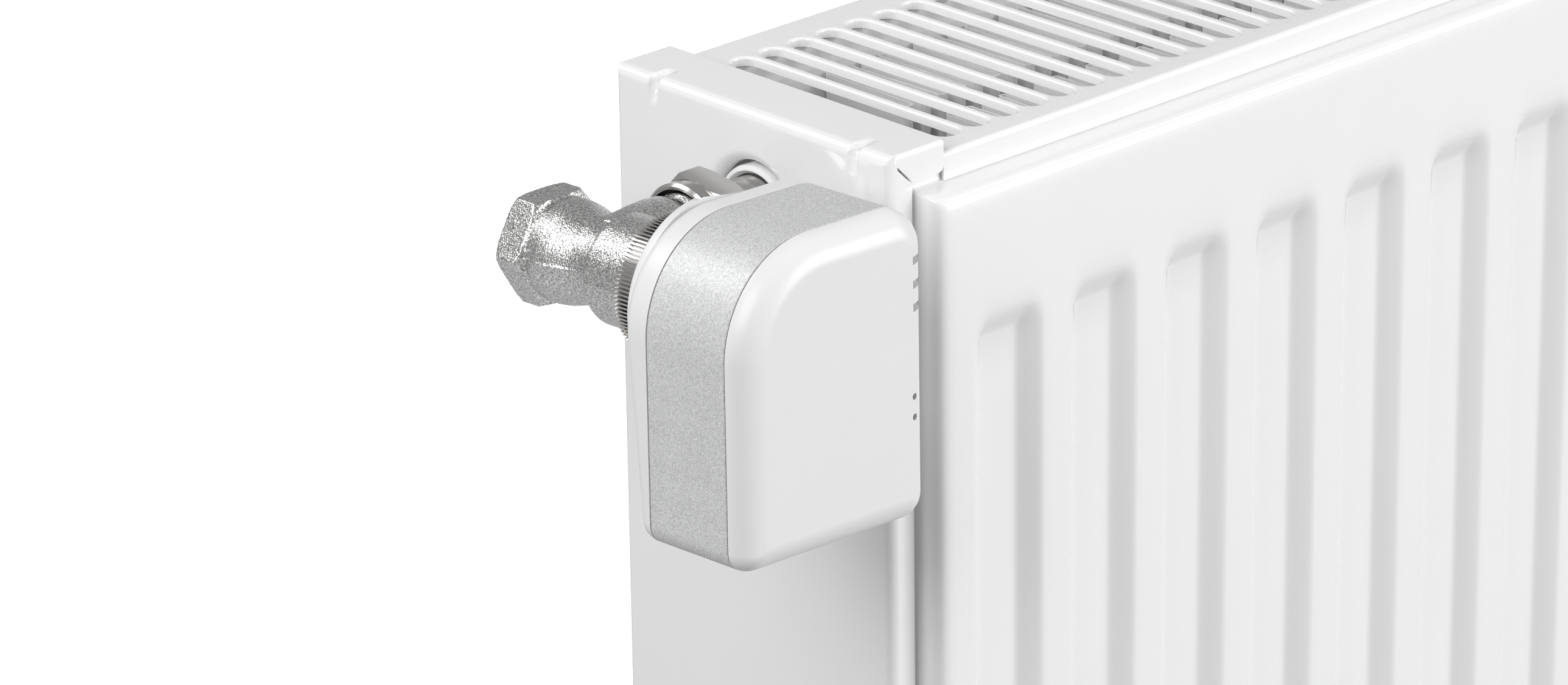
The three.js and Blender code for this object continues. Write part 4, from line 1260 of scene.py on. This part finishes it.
    def _nut(self, name: str) -> bpy.types.Object:
        """The union nut with its chamfered hexagon and turned collar.

        Args:
            name: The piece's name.

        Returns:
            The nut.
        """
        edge = self.nut_flats / math.sqrt(3)
        corners = self._hexagon(self.nut_flats, 90 - self.nut_turn)
        nut = Bench.prism(name, corners, Axis.X, self.nut_inner, self.nut_outer)
        chamfer = [(0, self.nut_inner), (edge - 1.5, self.nut_inner), (edge, self.nut_inner + 0.9),
                   (edge, self.nut_outer - 0.9),
                   (edge - 1.5, self.nut_outer), (0, self.nut_outer)]
        Bench.act(nut, Bench.turned("chamfer", chamfer, Axis.X, 96), Join.KEEP_SHARED)
        collar = [(0, self.nut_inner - 4.3), (13.3, self.nut_inner - 4.3), (14.0, self.nut_inner - 3.6),
                  (14.0, self.nut_inner - 0.7),
                  (13.6, self.nut_inner - 0.3), (13.6, self.nut_inner + 1), (0, self.nut_inner + 1)]
        Bench.act(nut, Bench.turned("collar", collar, Axis.X, 96), Join.ADD)
        bore = [(0, self.nut_inner - 6), (13.2, self.nut_inner - 6), (12.5, self.nut_inner - 3.9),
                (12.5, self.nut_outer - 2.2), (9.6, self.nut_outer - 2.2),
                (9.6, self.nut_outer + 1), (0, self.nut_outer + 1)]
        Bench.act(nut, Bench.turned("bore", bore, Axis.X, 64), Join.CUT)
        return Bench.smooth(nut, 28)

    def _tail(self, name: str) -> bpy.types.Object:
        """The tailpiece that screws into the radiator, with its thread.

        Args:
            name: The piece's name.

        Returns:
            The tailpiece.
        """
        flange = self.nut_outer - 2.6
        profile = [(6.8, 32.6), (11.4, 32.6), (11.4, flange), (9.2, flange), (9.2, 42.6), (9.2, 44.0)]
        for i in range(6):
            x = 44.4 + 1.8 * i
            profile += [(9.3, x), (9.85, x + 0.9)]
        profile += [(9.0, 57.2), (6.8, 57.2)]
        return Bench.smooth(Bench.turned(name, profile, Axis.X, 72), 30)

    def _ring(self, name: str) -> bpy.types.Object:
        """The knurled ring.

        Args:
            name: The piece's name.

        Returns:
            The ring.
        """
        step = 2 * math.pi / self.knurls
        floor = self.ring_radius - self.knurl_depth
        outline = []
        for i in range(self.knurls):
            for radius, share in ((self.ring_radius, 0.1), (self.ring_radius, 0.5),
                                  (floor, 0.6), (floor, 1.0)):
                outline.append((radius * math.cos((i + share) * step), radius * math.sin((i + share) * step)))
        ring = Bench.prism(name, outline, Axis.Y, self.ring_end, self.ring_start)
        bore = [(0, self.ring_end - 1), (12.6, self.ring_end - 1), (12.6, self.ring_end + 2.6),
                (15, self.ring_end + 2.6), (15, self.ring_start - 0.5),
                (15.6, self.ring_start + 1), (0, self.ring_start + 1)]
        Bench.act(ring, Bench.turned("bore", bore, Axis.Y, 72), Join.CUT)
        return Bench.smooth(ring, 25, weighted=False)


# ------------------------------------------------------------------ head

@dataclass
class ElectronicHead:
    """The three shells of the head: rear shell with its collar, silver band and front cover."""

    half_width: float = 30.0
    bore: float = 12.95
    vent_start: float = 24.4
    vent_levels: tuple[float, ...] = (12.95, 7.05, 1.35)
    vent_half: float = 1.0
    signal_radius: float = 0.85
    signal_x: float = 24.6
    signal_levels: tuple[float, ...] = (-20.7, -25.8)
    top: float = 25.5
    bottom: float = -52.5
    corners: tuple[float, ...] = (10.0, 27.0, 5.5, 7.0)
    corner_steps: tuple[int, ...] = (12, 30, 10, 10)
    wall: float = 2.0
    back: float = -36.5
    slope_top: float = -15.0
    slope: float = 0.121
    collar: float = 25.0
    collar_start: float = -32.0
    band_start: float = -45.0
    band_end: float = -71.5
    front: float = -78.5
    fillet: float = 7.0
    seam: float = 0.3

    def _outline(self, y: float, inset: float = 0.0, sloped: float = 0.0) -> list[Point]:
        """The head's outline at a depth.

        Args:
            y: The depth.
            inset: How far it is drawn in.
            sloped: How much of the back's slope it follows, from 0 to 1.

        Returns:
            The outline's points in order.
        """
        x1, z1, z0 = self.half_width - inset, self.top - inset, self.bottom + inset
        points: list[Point] = []
        for k, (sx, zc, sz) in enumerate(((1, z1, 1), (-1, z1, 1), (-1, z0, -1), (1, z0, -1))):
            r = max(self.corners[k] - inset, 0.35)
            for i in range(self.corner_steps[k] + 1):
                angle = math.radians(90 * k + 90 * i / self.corner_steps[k])
                z = zc - sz * r + r * math.sin(angle)
                points.append((sx * (x1 - r) + r * math.cos(angle), y + sloped * self._slope(z), z))
        return points

    def _slope(self, z: float) -> float:
        """How far the sloping back lies in front of its upper part at a height."""
        return -self.slope * max(0.0, self.slope_top - z)

    def _circle(self, y: float, radius: float, sloped: float = 0.0) -> list[Point]:
        """A circle with as many points as the outline, matched by direction.

        Args:
            y: The depth.
            radius: The circle's radius.
            sloped: How much of the back's slope it follows, from 0 to 1.

        Returns:
            The circle's points in order.
        """
        points: list[Point] = []
        for x, _, z in self._outline(0.0):
            angle = math.atan2(z, x)
            height = radius * math.sin(angle)
            points.append((radius * math.cos(angle), y + sloped * self._slope(height), height))
        return points

    def build(self, materials: dict[str, bpy.types.Material]) -> None:
        """Builds and places the shells.

        Args:
            materials: The finishes by slot.
        """
        place = PLACES.head()
        Fitting("radiator", "white_plastic", ("rear_shell",)).fit(self._rear("back_shell"), place,
                                                                  materials["white_plastic"])
        Fitting("radiator", "silver_plastic", ("silver_band",)).fit(self._band("lacquered_band"), place,
                                                                    materials["silver_plastic"])
        Fitting("front_cover", "white_plastic", ("front_cover",)).fit(self._front("face_cover"), place,
                                                                      materials["white_plastic"])

    def _rear(self, name: str) -> bpy.types.Object:
        """The rear shell with its sloping back and round collar.

        Args:
            name: The piece's name.

        Returns:
            The shell.
        """
        b, c = self.back, self.collar_start
        rings = [self._outline(self.band_start + self.seam), self._outline(b - 3.4, 0, 1),
                 self._outline(b - 1.7, 0.45, 1),
                 self._outline(b - 0.55, 1.4, 1), self._outline(b, 2.9, 1),
                 self._circle(b + 0.05, 26.0, 0.6), self._circle(b + 0.5, self.collar + 0.15, 0.3),
                 self._circle(b + 1.6, self.collar), self._circle(c - 1.3, self.collar),
                 self._circle(c - 0.5, self.collar - 0.45),
                 self._circle(c, self.collar - 1.4), self._circle(c, self.bore),
                 self._circle(c - 2, self.bore),
                 self._circle(c - 2, self.collar - 2),
                 self._circle(b - 1.6, self.collar - 1.8, 0.5), self._outline(b - 4.4, self.wall, 1),
                 self._outline(self.band_start + self.seam, self.wall)]
        shell = Bench.lofted(name, rings, around=True)
        edge = self.half_width
        lens = [(-edge - 1, -30.4), (-edge + 0.9, -33.4), (-edge + 0.9, -38.4), (-edge - 1, -41.4)]
        notch = Bench.prism("notch", lens, Axis.Y, self.back - 5.2, self.back - 3.9)
        Bench.act(shell, notch, Join.CUT)
        return Bench.smooth(shell, 40)

    def _band(self, name: str) -> bpy.types.Object:
        """The lacquered band with softened edges.

        Args:
            name: The piece's name.

        Returns:
            The band.
        """
        y0, y1, soft = self.band_start, self.band_end + self.seam, 0.18
        rings = [self._outline(y0, soft), self._outline(y0 - soft), self._outline(y1 + soft),
                 self._outline(y1, soft), self._outline(y1, self.wall),
                 self._outline(y0, self.wall)]
        return Bench.smooth(Bench.lofted(name, rings, around=True), 40)

    def _front(self, name: str) -> bpy.types.Object:
        """The front cover with its wide fillet, vents and signal holes.

        Args:
            name: The piece's name.

        Returns:
            The cover.
        """
        start = self.band_end
        reach = self.front - start
        rings = [self._outline(start, self.wall), self._outline(start, 0.12), self._outline(start - 0.15)]
        for turn in range(10, 91, 10):
            a = math.radians(turn)
            rings.append(self._outline(start + reach * math.sin(a), self.fillet * (1 - math.cos(a))))
        shell = Bench.lofted(name, rings, around=False)
        inner = [self._outline(start + 1, self.wall), self._outline(start - 1.0, self.wall),
                 self._outline(start - 4.2, 4.2),
                 self._outline(self.front + self.wall, self.fillet)]
        Bench.act(shell, Bench.lofted("room", inner, around=False), Join.CUT)
        for z in self.vent_levels:
            slot = Bench.block("vent", (self.vent_start, self.front - 1, z - self.vent_half),
                               (self.half_width + 1, self.band_end - 1.4, z + self.vent_half))
            Bench.act(shell, slot, Join.CUT)
        for z in self.signal_levels:
            hole = Bench.turned("hole",
                                [(0, self.front - 1), (self.signal_radius, self.front - 1),
                                 (self.signal_radius, self.band_end),
                                 (0, self.band_end)], Axis.Y, 24)
            hole.data.transform(Matrix.Translation((self.signal_x, 0, z)))
            Bench.act(shell, hole, Join.CUT)
        return Bench.smooth(shell, 40)


# ------------------------------------------------------------------ studio

@dataclass
class Studio:
    """Floor, lights, world and camera."""

    eye: Point = (-1.33171, -1.17073, 0.64671)
    azimuth: float = -43.308
    elevation: float = 22.0545
    roll: float = -0.811
    lens: float = 152.0
    floor: float = -0.507

    def build(self) -> None:
        """Sets the stage."""
        bpy.context.scene.view_settings.view_transform = "Standard"
        self._camera()
        self._floor()
        self._world()
        self._light("room_side", (1.9, -3.3, 0.9), 2.4, 112)
        self._light("upper_left", (-1.35, -0.2, 0.85), 0.9, 11)
        self._light("behind", (-1.2, 1.7, 1.7), 0.9, 14)
        self._light("upper_right", (1.6, -1.0, 1.9), 0.35, 1.2)

    def _camera(self) -> None:
        """Places the camera."""
        a, e, r = (math.radians(angle) for angle in (self.azimuth, self.elevation, self.roll))
        back = Vector((math.sin(a) * math.cos(e), -math.cos(a) * math.cos(e), math.sin(e)))
        right = (-back).cross(Vector((0, 0, 1))).normalized()
        up = right.cross(-back)
        right, up = right * math.cos(r) + up * math.sin(r), up * math.cos(r) - right * math.sin(r)
        camera = bpy.data.objects.new("camera", bpy.data.cameras.new("camera"))
        camera.data.lens = self.lens
        camera.data.sensor_width = 36.0
        camera.data.clip_start = 0.05
        turn = Matrix((right, up, back)).transposed().to_4x4()
        camera.matrix_world = Matrix.Translation(self.eye) @ turn
        bpy.context.collection.objects.link(camera)
        bpy.context.scene.camera = camera

    def _floor(self) -> None:
        """Lays the pale floor."""
        Bench.clear()
        bpy.ops.mesh.primitive_plane_add(size=40, location=(0, 0, self.floor))
        floor = Bench.begin("floor")
        material = bpy.data.materials.new("pale_floor")
        material.use_nodes = True
        shader = material.node_tree.nodes["Principled BSDF"]
        shader.inputs["Base Color"].default_value = (0.32, 0.32, 0.325, 1)
        shader.inputs["Roughness"].default_value = 0.7
        shader.inputs["Emission Color"].default_value = (1, 1, 1, 1)
        glow = material.node_tree.nodes.new("ShaderNodeLightPath")
        level = material.node_tree.nodes.new("ShaderNodeMath")
        level.operation = "MULTIPLY_ADD"
        level.inputs[1].default_value = 0.3
        material.node_tree.links.new(glow.outputs["Is Glossy Ray"], level.inputs[0])
        material.node_tree.links.new(glow.outputs["Is Camera Ray"], level.inputs[2])
        material.node_tree.links.new(level.outputs[0], shader.inputs["Emission Strength"])
        floor.data.materials.append(material)

    def _world(self) -> None:
        """Fills the room with even light."""
        world = bpy.data.worlds.new("room")
        world.use_nodes = True
        world.node_tree.nodes["Background"].inputs["Color"].default_value = (1, 1, 1, 1)
        world.node_tree.nodes["Background"].inputs["Strength"].default_value = 0.4
        bpy.context.scene.world = world

    def _light(self, name: str, place: Point, size: float, power: float) -> None:
        """Hangs a square softbox that faces the valve.

        Args:
            name: The light's name.
            place: Where it hangs.
            size: Its side.
            power: Its power in watts.
        """
        data = bpy.data.lights.new(name, "AREA")
        data.shape = "SQUARE"
        data.size = size
        data.energy = power
        light = bpy.data.objects.new(name, data)
        light.location = place
        light.rotation_euler = (Vector((-0.3, -0.1, 0.05)) - Vector(place)).to_track_quat("-Z",
                                                                                          "Y").to_euler()
        bpy.context.collection.objects.link(light)


def dress_frame(materials: dict[str, bpy.types.Material]) -> None:
    """Gives every carried-over node the finish of its slot.

    Args:
        materials: The finishes by slot.
    """
    for entry in frame["record"]["subparts"]:
        node = frame["nodes"][entry["node"]]
        node.data.materials.clear()
        node.data.materials.append(materials[entry["material_slot"]])


def main() -> None:
    """Builds the scene in order."""
    logging.basicConfig(level=logging.INFO)
    materials = {slot: finish.make() for slot, finish in FINISHES.items()}
    dress_frame(materials)
    Studio().build()
    Radiator().build(materials)
    CornerValve().build(materials)
    ElectronicHead().build(materials)


if __name__ == "__main__":
    main()
